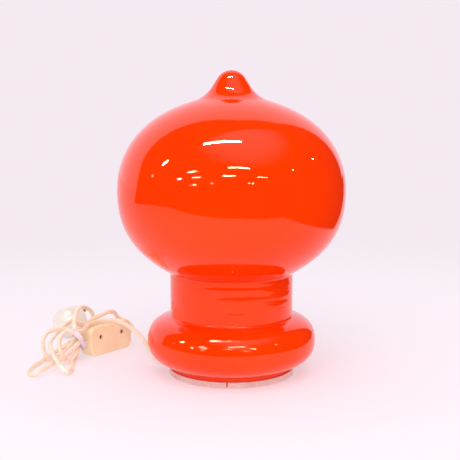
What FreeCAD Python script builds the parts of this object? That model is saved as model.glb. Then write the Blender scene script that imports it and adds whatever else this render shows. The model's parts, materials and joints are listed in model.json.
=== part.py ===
import FreeCAD, Part
import math
import os
import Sketcher

# Mushroom table lamp of one-piece blown glass over a small metal fitting.
# Millimetres, +Z up, origin on the floor under the glass axis, -Y towards the viewer.

Vector = FreeCAD.Vector
Placement = FreeCAD.Placement
Rotation = FreeCAD.Rotation
UP = Vector(0, 0, 1)

document = FreeCAD.newDocument("mushroom_lamp")
sheet = document.addObject("Spreadsheet::Sheet", "Sizes")

# Driving dimensions, each written once.
DIMENSIONS = {
    # blown glass
    "glass_wall": 4.0,
    "dome_radius": 128.2,
    "dome_waist_height": 208.3,
    "dome_rise": 106.0,
    "dome_drop": 109.4,
    "nub_rise": 28.2,
    "nub_cap_radius": 18.4,
    "nub_flank_angle": 32.7,
    "nub_blend_radius": 34.0,
    "neck_radius": 69.6,
    "shoulder_height": 66.7,
    "shoulder_slope": 14.0,
    "foot_radius": 96.0,
    "foot_waist_height": 38.0,
    "foot_rim_height": 10.4,
    "foot_rim_slope": 16.8,
    "collar_radius": 69.2,
    "crease_radius": 3.0,
    "cord_notch_width": 9.0,
    "cord_notch_height": 9.0,
    "cord_exit_angle": 169.2,
    "cord_exit_slant": 28.0,
    "cord_exit_standoff": 2.0,
    # plastic strip on the cut glass rim
    "strip_wall": 2.0,
    "strip_web": 1.4,
    "strip_height": 6.6,
    "strip_fit": 0.2,
    "strip_gap": 2.0,
    "strip_gap_angle": 266.1,
    # pressed base plate on rubber feet
    "plate_gap": 6.0,
    "plate_thickness": 1.5,
    "plate_height": 20.0,
    "plate_flange": 9.0,
    "feet_inset": 15.0,
    "foot_pad_radius": 7.0,
    "foot_spigot_radius": 3.8,
    "foot_head_radius": 5.2,
    "foot_head_height": 2.5,
    "vent_radius": 3.0,
    "vent_circle": 26.0,
    "slip": 0.1,
    "edge_break": 1.0,
    # leaf springs that centre the glass
    "leaf_thickness": 0.6,
    "leaf_width": 12.0,
    "leaf_foot_height": 2.2,
    "leaf_knee_height": 4.6,
    "leaf_top_height": 19.0,
    "leaf_clearance": 0.3,
    "rivet_radius": 1.6,
    "rivet_head_radius": 3.0,
    "rivet_head_height": 0.9,
    "rivet_level": 15.5,
    # threaded tube with its sleeve
    "tube_radius": 4.95,
    "tube_bore": 3.6,
    "tube_tail": 5.5,
    "thread_overhang": 1.0,
    "sleeve_radius": 8.0,
    "sleeve_wall": 1.2,
    "sleeve_length": 60.0,
    "washer_radius": 9.0,
    "washer_thickness": 1.0,
    "nut_flats": 14.0,
    "nut_height": 3.5,
    # lampholder
    "cap_radius": 20.0,
    "cap_wall": 1.6,
    "cap_depth": 22.0,
    "cap_foot_radius": 11.0,
    "insert_height": 9.0,
    "shell_wall": 1.8,
    "shell_clearance": 0.3,
    "shell_skirt": 6.0,
    "shell_height": 24.0,
    "shell_mouth": 15.4,
    "thread_sleeve_radius": 14.0,
    "thread_sleeve_wall": 0.5,
    "thread_sleeve_height": 21.0,
    "thread_sleeve_flange": 15.8,
    "contact_thickness": 0.5,
    "contact_width": 5.0,
    "contact_lift": 2.4,
    "terminal_size": 6.0,
    "terminal_way_shift": 1.2,
    "terminal_way_level": 2.0,
    "terminal_spacing": 20.0,
    "terminal_screw_radius": 1.4,
    "terminal_screw_length": 4.0,
    # screw-in bulb
    "bulb_radius": 30.0,
    "bulb_length": 108.0,
    "bulb_wall": 0.8,
    "bulb_neck_radius": 12.4,
    "bulb_cap_radius": 13.1,
    "bulb_cap_wall": 0.5,
    "bulb_cap_height": 23.0,
    "thread_depth": 0.3,
    "bulb_insulator_height": 3.2,
    "bulb_contact_radius": 4.5,
    "bulb_contact_height": 1.5,
    "bulb_mount_radius": 3.0,
    "bulb_mount_flare": 4.8,
    "bulb_mount_height": 46.0,
    "lead_wire_radius": 0.4,
    "lead_wire_spread": 14.0,
    "lead_wire_length": 24.0,
    "filament_radius": 0.5,
    # cord grip under the plate
    "grip_width": 26.0,
    "grip_length": 10.0,
    "grip_distance": 36.0,
    "grip_bar_height": 3.0,
    "grip_bar_level": 2.6,
    "grip_screw_radius": 1.6,
    "grip_screw_spacing": 16.0,
    "grip_screw_head_radius": 2.9,
    "grip_screw_head_height": 1.6,
    # flat twin cord
    "cord_width": 5.4,
    "core_radius": 1.1,
    "core_bare_length": 3.0,
    # switch on the cord
    "switch_length": 70.0,
    "switch_width": 35.0,
    "switch_thickness": 20.0,
    "switch_wall": 2.0,
    "switch_corner": 9.0,
    "switch_edge": 2.5,
    "switch_screw_spacing": 36.0,
    "switch_screw_shift": 4.5,
    "switch_screw_radius": 1.5,
    "switch_screw_head_radius": 2.7,
    "switch_screw_head_height": 1.8,
    "switch_screw_recess": 3.0,
    "switch_boss_radius": 4.2,
    "rocker_length": 17.0,
    "rocker_width": 11.0,
    "rocker_height": 9.0,
    "rocker_lean": 11.0,
    "rocker_clearance": 0.5,
    "rocker_pin_radius": 1.2,
    "rocker_running_fit": 0.05,
    "switch_terminal_size": 6.0,
    "switch_terminal_length": 9.0,
    "switch_contact_thickness": 0.5,
    "switch_clamp_length": 5.0,
    "switch_clamp_margin": 1.0,
    "rocker_ear_length": 6.0,
    "rocker_ear_depth": 3.0,
    "rocker_crown": 1.6,
    "rocker_dip": 1.0,
    "rocker_shoulder": 2.0,
    "rocker_draft": 0.7,
    # round plug
    "plug_radius": 19.5,
    "plug_face_height": 9.0,
    "plug_cover_height": 24.0,
    "plug_wall": 2.2,
    "plug_slope": 9.0,
    "plug_round": 5.4,
    "plug_screw_depth": 1.5,
    "pin_radius": 2.4,
    "pin_length": 19.0,
    "pin_spacing": 19.0,
    "pin_root": 6.0,
    "pin_collar": 0.8,
    "pin_tip": 1.2,
    "plug_screw_radius": 1.8,
    "plug_screw_head_radius": 3.4,
    "plug_screw_head_height": 2.2,
    "plug_sleeve_radius": 4.6,
    "plug_sleeve_length": 22.0,
    "plug_sleeve_flange": 1.0,
    "plug_sleeve_depth": 3.0,
    "plug_sleeve_lip": 0.9,
    "plug_sleeve_level": 10.8,
    # strip that ties the hank
    "tie_thickness": 0.8,
    "tie_width": 6.0,
    "tie_half_width": 11.0,
    "tie_half_height": 13.5,
}

for row, (alias, value) in enumerate(DIMENSIONS.items(), start=1):
    sheet.set("A%d" % row, alias.replace("_", " "))
    sheet.set("B%d" % row, str(value))
    sheet.setAlias("B%d" % row, alias)
document.recompute()


class Size:
    """A length that carries its value and the sheet expression it comes from."""

    def __init__(self, value, text):
        self.value = value
        self.text = text

    def __add__(self, other):
        return combined(self, "+", other)

    def __sub__(self, other):
        return combined(self, "-", other)

    def __mul__(self, other):
        return combined(self, "*", other)

    def __truediv__(self, other):
        return combined(self, "/", other)

    def __neg__(self):
        return combined(Size(0.0, "0"), "-", self)


def as_size(number):
    return number if isinstance(number, Size) else Size(float(number), repr(float(number)))


def combined(left, sign, right):
    left, right = as_size(left), as_size(right)
    value = {
        "+": left.value + right.value,
        "-": left.value - right.value,
        "*": left.value * right.value,
        "/": left.value / right.value if right.value else 0.0,
    }[sign]
    return Size(value, "(%s %s %s)" % (left.text, sign, right.text))


class SizeSheet:
    """Gives each cell of the sheet by its alias."""

    def __getattr__(self, alias):
        return Size(float(sheet.get(alias)), "Sizes." + alias)


S = SizeSheet()
ZERO = Size(0.0, "0")

node_objects = []


def keep(item, label):
    """Marks an object as a finished piece, with the name of its node."""
    item.Label = label
    node_objects.append(item)
    return item


def bind(item, name, size):
    item.setExpression(name, as_size(size).text)


def origin_feature(body, role):
    for feature in body.Origin.OriginFeatures:
        if feature.Role == role:
            return feature
    raise ValueError("no origin feature " + role)


def new_sketch(body, name, role, level=None):
    """A sketch on one of the body's own origin planes, lifted along the plane's normal."""
    sketch = body.newObject("Sketcher::SketchObject", name)
    sketch.AttachmentSupport = [(origin_feature(body, role), "")]
    sketch.MapMode = "FlatFace"
    if level is not None:
        sketch.AttachmentOffset = Placement(Vector(0, 0, level.value), Rotation())
        bind(sketch, ".AttachmentOffset.Base.z", level)
    return sketch


def pin_coordinate(sketch, kind, geometry, point, size):
    """Fixes one coordinate of a point, as an expression of the sheet."""
    size = as_size(size)
    if abs(size.value) < 1e-9:
        axis = -2 if kind == "DistanceX" else -1
        sketch.addConstraint(Sketcher.Constraint("PointOnObject", geometry, point, axis))
        return
    index = sketch.addConstraint(Sketcher.Constraint(kind, -1, 1, geometry, point, size.value))
    sketch.setExpression("Constraints[%d]" % index, size.text)


def draw_polygon(sketch, corners):
    """A closed outline whose corners are bound to the sheet."""
    corners = [(as_size(x), as_size(y)) for x, y in corners]
    points = [Vector(x.value, y.value, 0) for x, y in corners]
    first = sketch.GeometryCount
    count = len(points)
    for index in range(count):
        sketch.addGeometry(Part.LineSegment(points[index], points[(index + 1) % count]), False)
    for index in range(count):
        after = first + (index + 1) % count
        sketch.addConstraint(Sketcher.Constraint("Coincident", first + index, 2, after, 1))
        pin_coordinate(sketch, "DistanceX", first + index, 1, corners[index][0])
        pin_coordinate(sketch, "DistanceY", first + index, 1, corners[index][1])


def draw_circle(sketch, x, y, radius):
    x, y = as_size(x), as_size(y)
    circle = sketch.addGeometry(Part.Circle(Vector(x.value, y.value, 0), UP, radius.value), False)
    pin_coordinate(sketch, "DistanceX", circle, 3, x)
    pin_coordinate(sketch, "DistanceY", circle, 3, y)
    index = sketch.addConstraint(Sketcher.Constraint("Radius", circle, radius.value))
    sketch.setExpression("Constraints[%d]" % index, radius.text)


def rectangle(x_low, y_low, x_high, y_high):
    return [(x_low, y_low), (x_high, y_low), (x_high, y_high), (x_low, y_high)]


def centred_rectangle(width, depth):
    return rectangle(-width / 2, -depth / 2, width / 2, depth / 2)


# The cut that keeps a straight cut corner inside a round one, per unit of the round's radius.
CORNER_CUT = 2 - math.sqrt(2)


def cut_rectangle(width, depth, cut):
    """A centred rectangle with its four corners cut off."""
    across, along = width / 2, depth / 2
    return [
        (-across + cut, -along),
        (across - cut, -along),
        (across, -along + cut),
        (across, along - cut),
        (across - cut, along),
        (-across + cut, along),
        (-across, along - cut),
        (-across, -along + cut),
    ]


def new_body(name):
    return document.addObject("PartDesign::Body", name)


def revolve(body, corners, angle=None):
    """Turns an outline of (radius, height) corners about the body's Z axis."""
    sketch = new_sketch(body, body.Name + "_outline", "XZ_Plane")
    draw_polygon(sketch, corners)
    turn = body.newObject("PartDesign::Revolution", body.Name + "_turned")
    turn.Profile = sketch
    turn.ReferenceAxis = (sketch, ["V_Axis"])
    turn.Angle = 360
    if angle is not None:
        bind(turn, "Angle", angle)
    body.Tip = turn
    return turn


def turned(label, corners):
    body = new_body(label)
    revolve(body, corners)
    return keep(body, label)


def pad(body, draw, level, height, role="XY_Plane"):
    """Raises a drawn outline from a level above an origin plane."""
    sketch = new_sketch(body, body.Name + "_sketch", role, as_size(level))
    draw(sketch)
    block = body.newObject("PartDesign::Pad", body.Name + "_pad")
    block.Profile = sketch
    bind(block, "Length", height)
    document.recompute()
    body.Tip = block
    return block


def drill(body, x, y, radius, role="XY_Plane"):
    """A hole right through the body, square to an origin plane."""
    before = volume_of(body)
    sketch = new_sketch(body, body.Name + "_hole_sketch", role)
    draw_circle(sketch, x, y, radius)
    hole = body.newObject("PartDesign::Pocket", body.Name + "_hole")
    hole.Profile = sketch
    hole.Type = 1
    hole.Midplane = True
    document.recompute()
    body.Tip = hole
    check_cut(body, before)
    return hole


def sink(body, draw, level, depth, role="XY_Plane", upwards=False):
    """A pocket from a level, downwards unless told otherwise."""
    before = volume_of(body)
    sketch = new_sketch(body, body.Name + "_pocket_sketch", role, as_size(level))
    draw(sketch)
    pocket = body.newObject("PartDesign::Pocket", body.Name + "_pocket")
    pocket.Profile = sketch
    pocket.Reversed = upwards
    bind(pocket, "Length", depth)
    document.recompute()
    body.Tip = pocket
    check_cut(body, before)
    return pocket


def volume_of(body):
    document.recompute()
    return body.Shape.Volume


def check_cut(body, volume_before):
    if body.Shape.Volume >= volume_before - 1e-6:
        raise ValueError(body.Name + ": a cut removed nothing")


def ring_of(body, features, count, name):
    """Repeats features evenly round the body's Z axis."""
    document.recompute()
    pattern = body.newObject("PartDesign::PolarPattern", name)
    pattern.Originals = features
    pattern.Axis = (origin_feature(body, "Z_Axis"), [""])
    pattern.Angle = 360
    pattern.Occurrences = count
    body.Tip = pattern
    document.recompute()
    return pattern


def round_edges(body, wanted, radius, name):
    """Fillets the edges of the body that the test picks."""
    document.recompute()
    base = body.Tip
    names = []
    for index, edge in enumerate(base.Shape.Edges, start=1):
        if wanted(edge):
            names.append("Edge%d" % index)
    if not names:
        raise ValueError(body.Name + ": no edge to round")
    fillet = body.newObject("PartDesign::Fillet", name)
    fillet.Base = (base, names)
    bind(fillet, "Radius", radius)
    body.Tip = fillet
    document.recompute()
    return fillet


def cylinder(name, radius, height, x=0, y=0, z=0):
    item = document.addObject("Part::Cylinder", name)
    bind(item, "Radius", radius)
    bind(item, "Height", height)
    place(item, x, y, z)
    return item


def block(name, length, width, height, x=0, y=0, z=0):
    """A box centred on x and y, with its foot at z."""
    item = document.addObject("Part::Box", name)
    length, width, height = as_size(length), as_size(width), as_size(height)
    bind(item, "Length", length)
    bind(item, "Width", width)
    bind(item, "Height", height)
    place(item, as_size(x) - length / 2, as_size(y) - width / 2, z)
    return item


def place(item, x, y, z):
    for axis, size in zip("xyz", (x, y, z)):
        size = as_size(size)
        if abs(size.value) > 1e-9 or "Sizes" in size.text:
            bind(item, ".Placement.Base." + axis, size)


def fused(name, pieces):
    item = document.addObject("Part::MultiFuse", name)
    item.Shapes = pieces
    return item


def cut(name, base, tool):
    item = document.addObject("Part::Cut", name)
    item.Base = base
    item.Tool = tool
    return item


def grouped(name, pieces):
    item = document.addObject("Part::Compound", name)
    item.Links = pieces
    return item


def turned_by(item, angle):
    """Turns a finished piece about the lamp's axis."""
    item.Placement = Placement(Vector(0, 0, 0), Rotation(UP, angle.value))
    bind(item, ".Placement.Rotation.Angle", angle)
    return item


# Blown glass body: nub, dome, neck, foot and collar in one hollow piece.
# The foot's round edge is a pair of smooth curves that leave the waist upright.
SHOULDER_PULL = (19.0, 16.0)
FOOT_RIM_PULL = (17.0, 14.0)
GLASS_RIM = S.strip_web
NOTCH_CUTTER_WALLS = 8
NOTCH_CUTTER_INSIDE = 0.7
EXIT_DISTANCE = S.collar_radius + S.strip_fit + S.strip_wall + S.cord_exit_standoff


def soft_curve(start, end, slope, pulls, side):
    """A curve that leaves start upright and meets end at a slope below the horizontal."""
    leave = Vector(start.x, 0, start.z + side * pulls[0])
    arrive = Vector(
        end.x + pulls[1] * math.cos(math.radians(slope)),
        0,
        end.z - side * pulls[1] * math.sin(math.radians(slope)),
    )
    curve = Part.BezierCurve()
    curve.setPoles([start, leave, arrive, end])
    return curve.toShape()


def ellipse_arc(radius, height, waist, angle_from, angle_to):
    """Part of an upright ellipse in the XZ plane, centred on the axis at the waist."""
    wide = radius > height
    main, minor = (radius, height) if wide else (height, radius)
    corner = Vector(radius, 0, waist) if wide else Vector(0, 0, waist + height)
    other = Vector(0, 0, waist + height) if wide else Vector(-radius, 0, waist)
    ellipse = Part.Ellipse(corner, other, Vector(0, 0, waist))
    shift = 0.0 if wide else -90.0
    arc = Part.ArcOfEllipse(ellipse, math.radians(angle_from + shift), math.radians(angle_to + shift))
    if abs(ellipse.MajorRadius - main) > 1e-6 or abs(ellipse.MinorRadius - minor) > 1e-6:
        raise ValueError("the dome's ellipse is not the one asked for")
    return arc.toShape()


def ellipse_height(radius, height, reach):
    """How far above the waist an ellipse stands at a given distance from the axis."""
    return height * math.sqrt(1.0 - (reach / radius) ** 2)


def glass_outline(inset, rim):
    """The outline's edges from the rim up to the dome's waist and over, at an inset."""
    dome_radius = S.dome_radius.value - inset
    rise, drop = S.dome_rise.value - inset, S.dome_drop.value - inset
    waist = S.dome_waist_height.value
    neck = S.neck_radius.value - inset
    collar = S.collar_radius.value - inset
    foot = Vector(S.foot_radius.value - inset, 0, S.foot_waist_height.value)
    foot_rim = Vector(collar, 0, S.foot_rim_height.value + inset)
    shoulder = Vector(neck, 0, S.shoulder_height.value - inset)
    neck_top = Vector(neck, 0, waist - ellipse_height(dome_radius, drop, neck))
    low_angle = -math.degrees(math.acos(neck / dome_radius))
    edges = [
        Part.makeLine(Vector(collar, 0, rim), foot_rim),
        soft_curve(foot, foot_rim, S.foot_rim_slope.value, FOOT_RIM_PULL, -1),
        soft_curve(foot, shoulder, S.shoulder_slope.value, SHOULDER_PULL, 1),
        Part.makeLine(shoulder, neck_top),
        ellipse_arc(dome_radius, drop, waist, low_angle, 0.0),
    ]
    return edges, dome_radius, rise, waist


def flank_meets_dome(radius, rise, waist, tip, slope):
    """Where the nub's straight flank, running down and out from tip, meets the dome."""
    low, high = 0.0, radius
    for _ in range(60):
        middle = (low + high) / 2
        reach = tip.x + middle * math.sin(slope)
        height = tip.z - middle * math.cos(slope)
        if reach < radius and height > waist + ellipse_height(radius, rise, reach):
            low = middle
        else:
            high = middle
    return Vector(tip.x + low * math.sin(slope), 0, tip.z - low * math.cos(slope))


def glass_solid():
    rim = GLASS_RIM.value
    outer, radius, rise, waist = glass_outline(0.0, rim)
    slope = math.radians(S.nub_flank_angle.value)
    cap = S.nub_cap_radius.value
    top = waist + rise + S.nub_rise.value
    cap_centre = Vector(0, 0, top - cap)
    flank_top = cap_centre + Vector(cap * math.cos(slope), 0, cap * math.sin(slope))
    flank_foot = flank_meets_dome(radius, rise, waist, flank_top, slope)
    top_angle = math.degrees(math.acos(flank_foot.x / radius))
    middle = (math.pi / 2 + slope) / 2
    cap_middle = cap_centre + Vector(cap * math.cos(middle), 0, cap * math.sin(middle))
    pole = Vector(0, 0, top)
    outer.append(ellipse_arc(radius, rise, waist, 0.0, top_angle))
    outer.append(Part.makeLine(flank_foot, flank_top))
    outer.append(Part.Arc(flank_top, cap_middle, pole).toShape())

    wall = S.glass_wall.value
    inner, inner_radius, inner_rise, waist = glass_outline(wall, rim)
    inner.append(ellipse_arc(inner_radius, inner_rise, waist, 0.0, 90.0))
    inner_pole = Vector(0, 0, waist + inner_rise)
    collar = S.collar_radius.value
    closing = [
        Part.makeLine(inner_pole, pole),
        Part.makeLine(Vector(collar - wall, 0, rim), Vector(collar, 0, rim)),
    ]
    loop = Part.Wire(Part.__sortEdges__(outer + inner + closing))
    solid = Part.Face(loop).revolve(Vector(0, 0, 0), UP, 360)
    if solid.ShapeType != "Solid":
        solid = solid.Solids[0]

    def circle_at(reach, height):
        for edge in solid.Edges:
            box = edge.BoundBox
            flat = box.ZLength < 0.01 and abs(box.ZMax - height) < 0.05
            if flat and abs(box.XMax - reach) < 0.05:
                return edge
        raise ValueError("no crease at height %.1f" % height)

    neck = S.neck_radius.value
    neck_top = waist - ellipse_height(radius, S.dome_drop.value, neck)
    creases = [circle_at(neck, neck_top), circle_at(neck, S.shoulder_height.value)]
    solid = solid.makeFillet(S.crease_radius.value, creases)
    solid = solid.makeFillet(S.nub_blend_radius.value, [circle_at(flank_foot.x, flank_foot.z)])
    return solid.cut(notch_shape())


def exit_point(distance, level):
    """A point on the cord's way out, at a distance from the lamp's axis."""
    angle = math.radians(S.cord_exit_angle.value)
    return Vector(distance * math.cos(angle), distance * math.sin(angle), level)


def slanted_way():
    """The cord's direction through the rim, slanted from the radius."""
    angle = math.radians((S.cord_exit_angle - S.cord_exit_slant).value)
    return Vector(math.cos(angle), math.sin(angle), 0)


def notch_shape():
    """The arched opening ground into the rim, through which the cord leaves."""
    width, height = S.cord_notch_width.value, S.cord_notch_height.value
    length = S.glass_wall.value * NOTCH_CUTTER_WALLS
    straight = height - width / 2
    arch = Part.makeCylinder(width / 2, length, Vector(0, 0, straight), Vector(1, 0, 0))
    margin = S.edge_break.value
    lower = Part.makeBox(length, width, straight + margin, Vector(0, -width / 2, -margin))
    shape = arch.fuse(lower).removeSplitter()
    shape.rotate(Vector(0, 0, 0), UP, (S.cord_exit_angle - S.cord_exit_slant).value)
    shape.translate(exit_point(EXIT_DISTANCE.value, 0) - slanted_way() * length * NOTCH_CUTTER_INSIDE)
    return shape


def make_glass():
    glass = document.addObject("Part::Feature", "glass_body")
    glass.Shape = glass_solid()
    keep(glass, "glass_body")


# Soft plastic edge strip, a U in section, pushed on the cut rim with a butt joint in front.
STRIP_INNER = S.collar_radius - S.glass_wall - S.strip_fit - S.strip_wall
STRIP_OUTER = S.collar_radius + S.strip_fit + S.strip_wall
PLATE_RADIUS = STRIP_INNER - S.plate_gap
FEET_CIRCLE = PLATE_RADIUS - S.feet_inset


def make_strip():
    ring = new_body("strip_ring")
    outer_slot = S.collar_radius + S.strip_fit
    inner_slot = S.collar_radius - S.glass_wall - S.strip_fit
    joint = S.strip_gap / STRIP_OUTER * 180 / math.pi
    corners = [
        (STRIP_INNER, ZERO),
        (STRIP_OUTER, ZERO),
        (STRIP_OUTER, S.strip_height),
        (outer_slot, S.strip_height),
        (outer_slot, S.strip_web),
        (inner_slot, S.strip_web),
        (inner_slot, S.strip_height),
        (STRIP_INNER, S.strip_height),
    ]
    revolve(ring, corners, as_size(360) - joint)
    turned_by(ring, S.strip_gap_angle + joint / 2)
    notch = document.addObject("Part::Feature", "strip_notch")
    notch.Shape = notch_shape()
    keep(cut("rim_strip", ring, notch), "rim_strip")


# Pressed steel plate on three rubber feet, with vents and a down-turned flange.
PLATE_TOP = S.plate_height + S.plate_thickness
FLANGE_FOOT = S.plate_height - S.plate_flange


def make_plate():
    body = new_body("base_plate")
    inner = PLATE_RADIUS - S.plate_thickness
    bore = S.tube_radius + S.slip
    corners = [
        (bore, S.plate_height),
        (inner, S.plate_height),
        (inner, FLANGE_FOOT),
        (PLATE_RADIUS, FLANGE_FOOT),
        (PLATE_RADIUS, PLATE_TOP),
        (bore, PLATE_TOP),
    ]
    revolve(body, corners)
    feet = drill(body, FEET_CIRCLE, 0, S.foot_spigot_radius + S.slip)
    ring_of(body, [feet], 3, "plate_feet_holes")
    vent = drill(body, S.vent_circle, 0, S.vent_radius)
    ring_of(body, [vent], 9, "plate_vents")
    for side in (-1, 1):
        across = S.grip_screw_spacing * side / 2
        drill(body, -S.grip_distance, across, S.grip_screw_radius + S.slip)
    rivet_holes = drill_from_side(body, S.rivet_level, S.rivet_radius + S.slip, PLATE_RADIUS * 2)
    ring_of(body, [rivet_holes], 3, "plate_rivet_holes")
    turned_by(body, S.cord_exit_angle - 180)
    keep(body, "base_plate")


def drill_from_side(body, level, radius, reach):
    """A hole that enters the body along +X and stops at its axis."""
    before = volume_of(body)
    sketch = new_sketch(body, body.Name + "_side_sketch", "YZ_Plane")
    draw_circle(sketch, 0, level, radius)
    hole = body.newObject("PartDesign::Pocket", body.Name + "_side_hole")
    hole.Profile = sketch
    hole.Reversed = True
    bind(hole, "Length", reach)
    document.recompute()
    body.Tip = hole
    check_cut(body, before)
    return hole


def make_feet():
    body = new_body("base_feet")
    corners = [
        (ZERO, ZERO),
        (S.foot_pad_radius - S.edge_break, ZERO),
        (S.foot_pad_radius, S.edge_break),
        (S.foot_pad_radius, S.plate_height),
        (S.foot_spigot_radius, S.plate_height),
        (S.foot_spigot_radius, PLATE_TOP),
        (S.foot_head_radius, PLATE_TOP),
        (S.foot_spigot_radius, PLATE_TOP + S.foot_head_height),
        (ZERO, PLATE_TOP + S.foot_head_height),
    ]
    shifted_turn(body, corners, FEET_CIRCLE)
    turned_by(body, S.cord_exit_angle - 180)
    keep(body, "base_feet")


def shifted_turn(body, corners, distance, count=3, start=None):
    """Turns an outline about an upright axis beside the body's own, then repeats it round."""
    sketch = new_sketch(body, body.Name + "_outline", "XZ_Plane")
    sketch.AttachmentOffset = Placement(Vector(distance.value, 0, 0), Rotation())
    bind(sketch, ".AttachmentOffset.Base.x", distance)
    draw_polygon(sketch, corners)
    turn = body.newObject("PartDesign::Revolution", body.Name + "_turned")
    turn.Profile = sketch
    turn.ReferenceAxis = (sketch, ["V_Axis"])
    turn.Angle = 360
    body.Tip = turn
    ring_of(body, [turn], count, body.Name + "_ring")
    return turn


# Three leaf springs riveted inside the flange's height; their knees centre the glass.
LEAF_KNEE = STRIP_INNER - S.leaf_clearance
HEAD_TAPER = 0.7


def make_leaves():
    body = new_body("centring_springs")
    outer = PLATE_RADIUS + S.leaf_thickness
    corners = [
        (PLATE_RADIUS, S.leaf_top_height),
        (PLATE_RADIUS, FLANGE_FOOT),
        (LEAF_KNEE - S.leaf_thickness, S.leaf_knee_height),
        (PLATE_RADIUS, S.leaf_foot_height),
        (outer, S.leaf_foot_height),
        (LEAF_KNEE, S.leaf_knee_height),
        (outer, FLANGE_FOOT),
        (outer, S.leaf_top_height),
    ]
    sketch = new_sketch(body, "leaf_outline", "XZ_Plane")
    draw_polygon(sketch, corners)
    leaf = body.newObject("PartDesign::Pad", "leaf")
    leaf.Profile = sketch
    leaf.Midplane = True
    bind(leaf, "Length", S.leaf_width)
    body.Tip = leaf
    document.recompute()
    hole = drill_from_side(body, S.rivet_level, S.rivet_radius + S.slip, outer * 2)
    ring_of(body, [leaf, hole], 3, "leaf_ring")
    turned_by(body, S.cord_exit_angle - 180)
    keep(body, "centring_springs")


def make_rivets():
    """Flat-headed rivets that lie along X and hold the springs to the flange."""
    body = new_body("spring_rivets")
    inner = PLATE_RADIUS - S.plate_thickness
    outer = PLATE_RADIUS + S.leaf_thickness
    head = S.rivet_head_radius
    seat = inner - S.slip
    corners = [
        (seat - S.rivet_head_height, ZERO),
        (outer + S.rivet_head_height, ZERO),
        (outer + S.rivet_head_height, head * HEAD_TAPER),
        (outer, head),
        (outer, S.rivet_radius),
        (seat, S.rivet_radius),
        (seat, head),
        (seat - S.rivet_head_height, head * HEAD_TAPER),
    ]
    sketch = new_sketch(body, "rivet_outline", "XZ_Plane")
    sketch.AttachmentOffset = Placement(Vector(0, S.rivet_level.value, 0), Rotation())
    bind(sketch, ".AttachmentOffset.Base.y", S.rivet_level)
    draw_polygon(sketch, corners)
    turn = body.newObject("PartDesign::Revolution", "rivet")
    turn.Profile = sketch
    turn.ReferenceAxis = (sketch, ["H_Axis"])
    turn.Angle = 360
    body.Tip = turn
    ring_of(body, [turn], 3, "rivet_ring")
    turned_by(body, S.cord_exit_angle - 180)
    keep(body, "spring_rivets")


# Threaded tube that carries the lampholder, with a plain sleeve round it.
SLEEVE_FOOT = PLATE_TOP + S.washer_thickness
HOLDER_FOOT = SLEEVE_FOOT + S.sleeve_length
TUBE_FOOT = S.plate_height - S.tube_tail
NUT_TOP = S.plate_height - S.washer_thickness
TUBE_TOP = HOLDER_FOOT + S.cap_wall + S.nut_height + S.thread_overhang


def hollow(inner, outer, foot, top):
    return [(inner, foot), (outer, foot), (outer, top), (inner, top)]


def make_tube():
    turned("threaded_tube", hollow(S.tube_bore, S.tube_radius, TUBE_FOOT, TUBE_TOP))
    inner = S.sleeve_radius - S.sleeve_wall
    turned("stem_sleeve", hollow(inner, S.sleeve_radius, SLEEVE_FOOT, HOLDER_FOOT))
    bore = S.tube_radius + S.slip
    washers = new_body("plate_washers")
    revolve(washers, hollow(bore, S.washer_radius, PLATE_TOP, SLEEVE_FOOT))
    sketch = new_sketch(washers, "lower_washer_outline", "XZ_Plane")
    draw_polygon(sketch, hollow(bore, S.washer_radius, NUT_TOP, S.plate_height))
    second = washers.newObject("PartDesign::Revolution", "lower_washer")
    second.Profile = sketch
    second.ReferenceAxis = (sketch, ["V_Axis"])
    second.Angle = 360
    washers.Tip = second
    keep(washers, "plate_washers")
    make_nut("plate_nut", NUT_TOP - S.nut_height)
    make_nut("holder_nut", HOLDER_FOOT + S.cap_wall)


def make_nut(label, foot):
    prism = document.addObject("Part::Prism", label + "_prism")
    prism.Polygon = 6
    bind(prism, "Circumradius", S.nut_flats / math.sqrt(3))
    bind(prism, "Height", S.nut_height)
    place(prism, 0, 0, foot)
    bore = cylinder(label + "_bore", S.tube_radius + S.slip, S.nut_height * 3, 0, 0, foot - S.nut_height)
    keep(cut(label, prism, bore), label)


# Lampholder with a screw ring: cap, insert, contacts, threaded sleeve and shell.
INSERT_FOOT = HOLDER_FOOT + S.cap_depth
INSERT_TOP = INSERT_FOOT + S.insert_height
SHELL_INNER = S.cap_radius + S.shell_clearance
SHELL_LEDGE = INSERT_TOP + S.thread_sleeve_wall + S.slip


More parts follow.
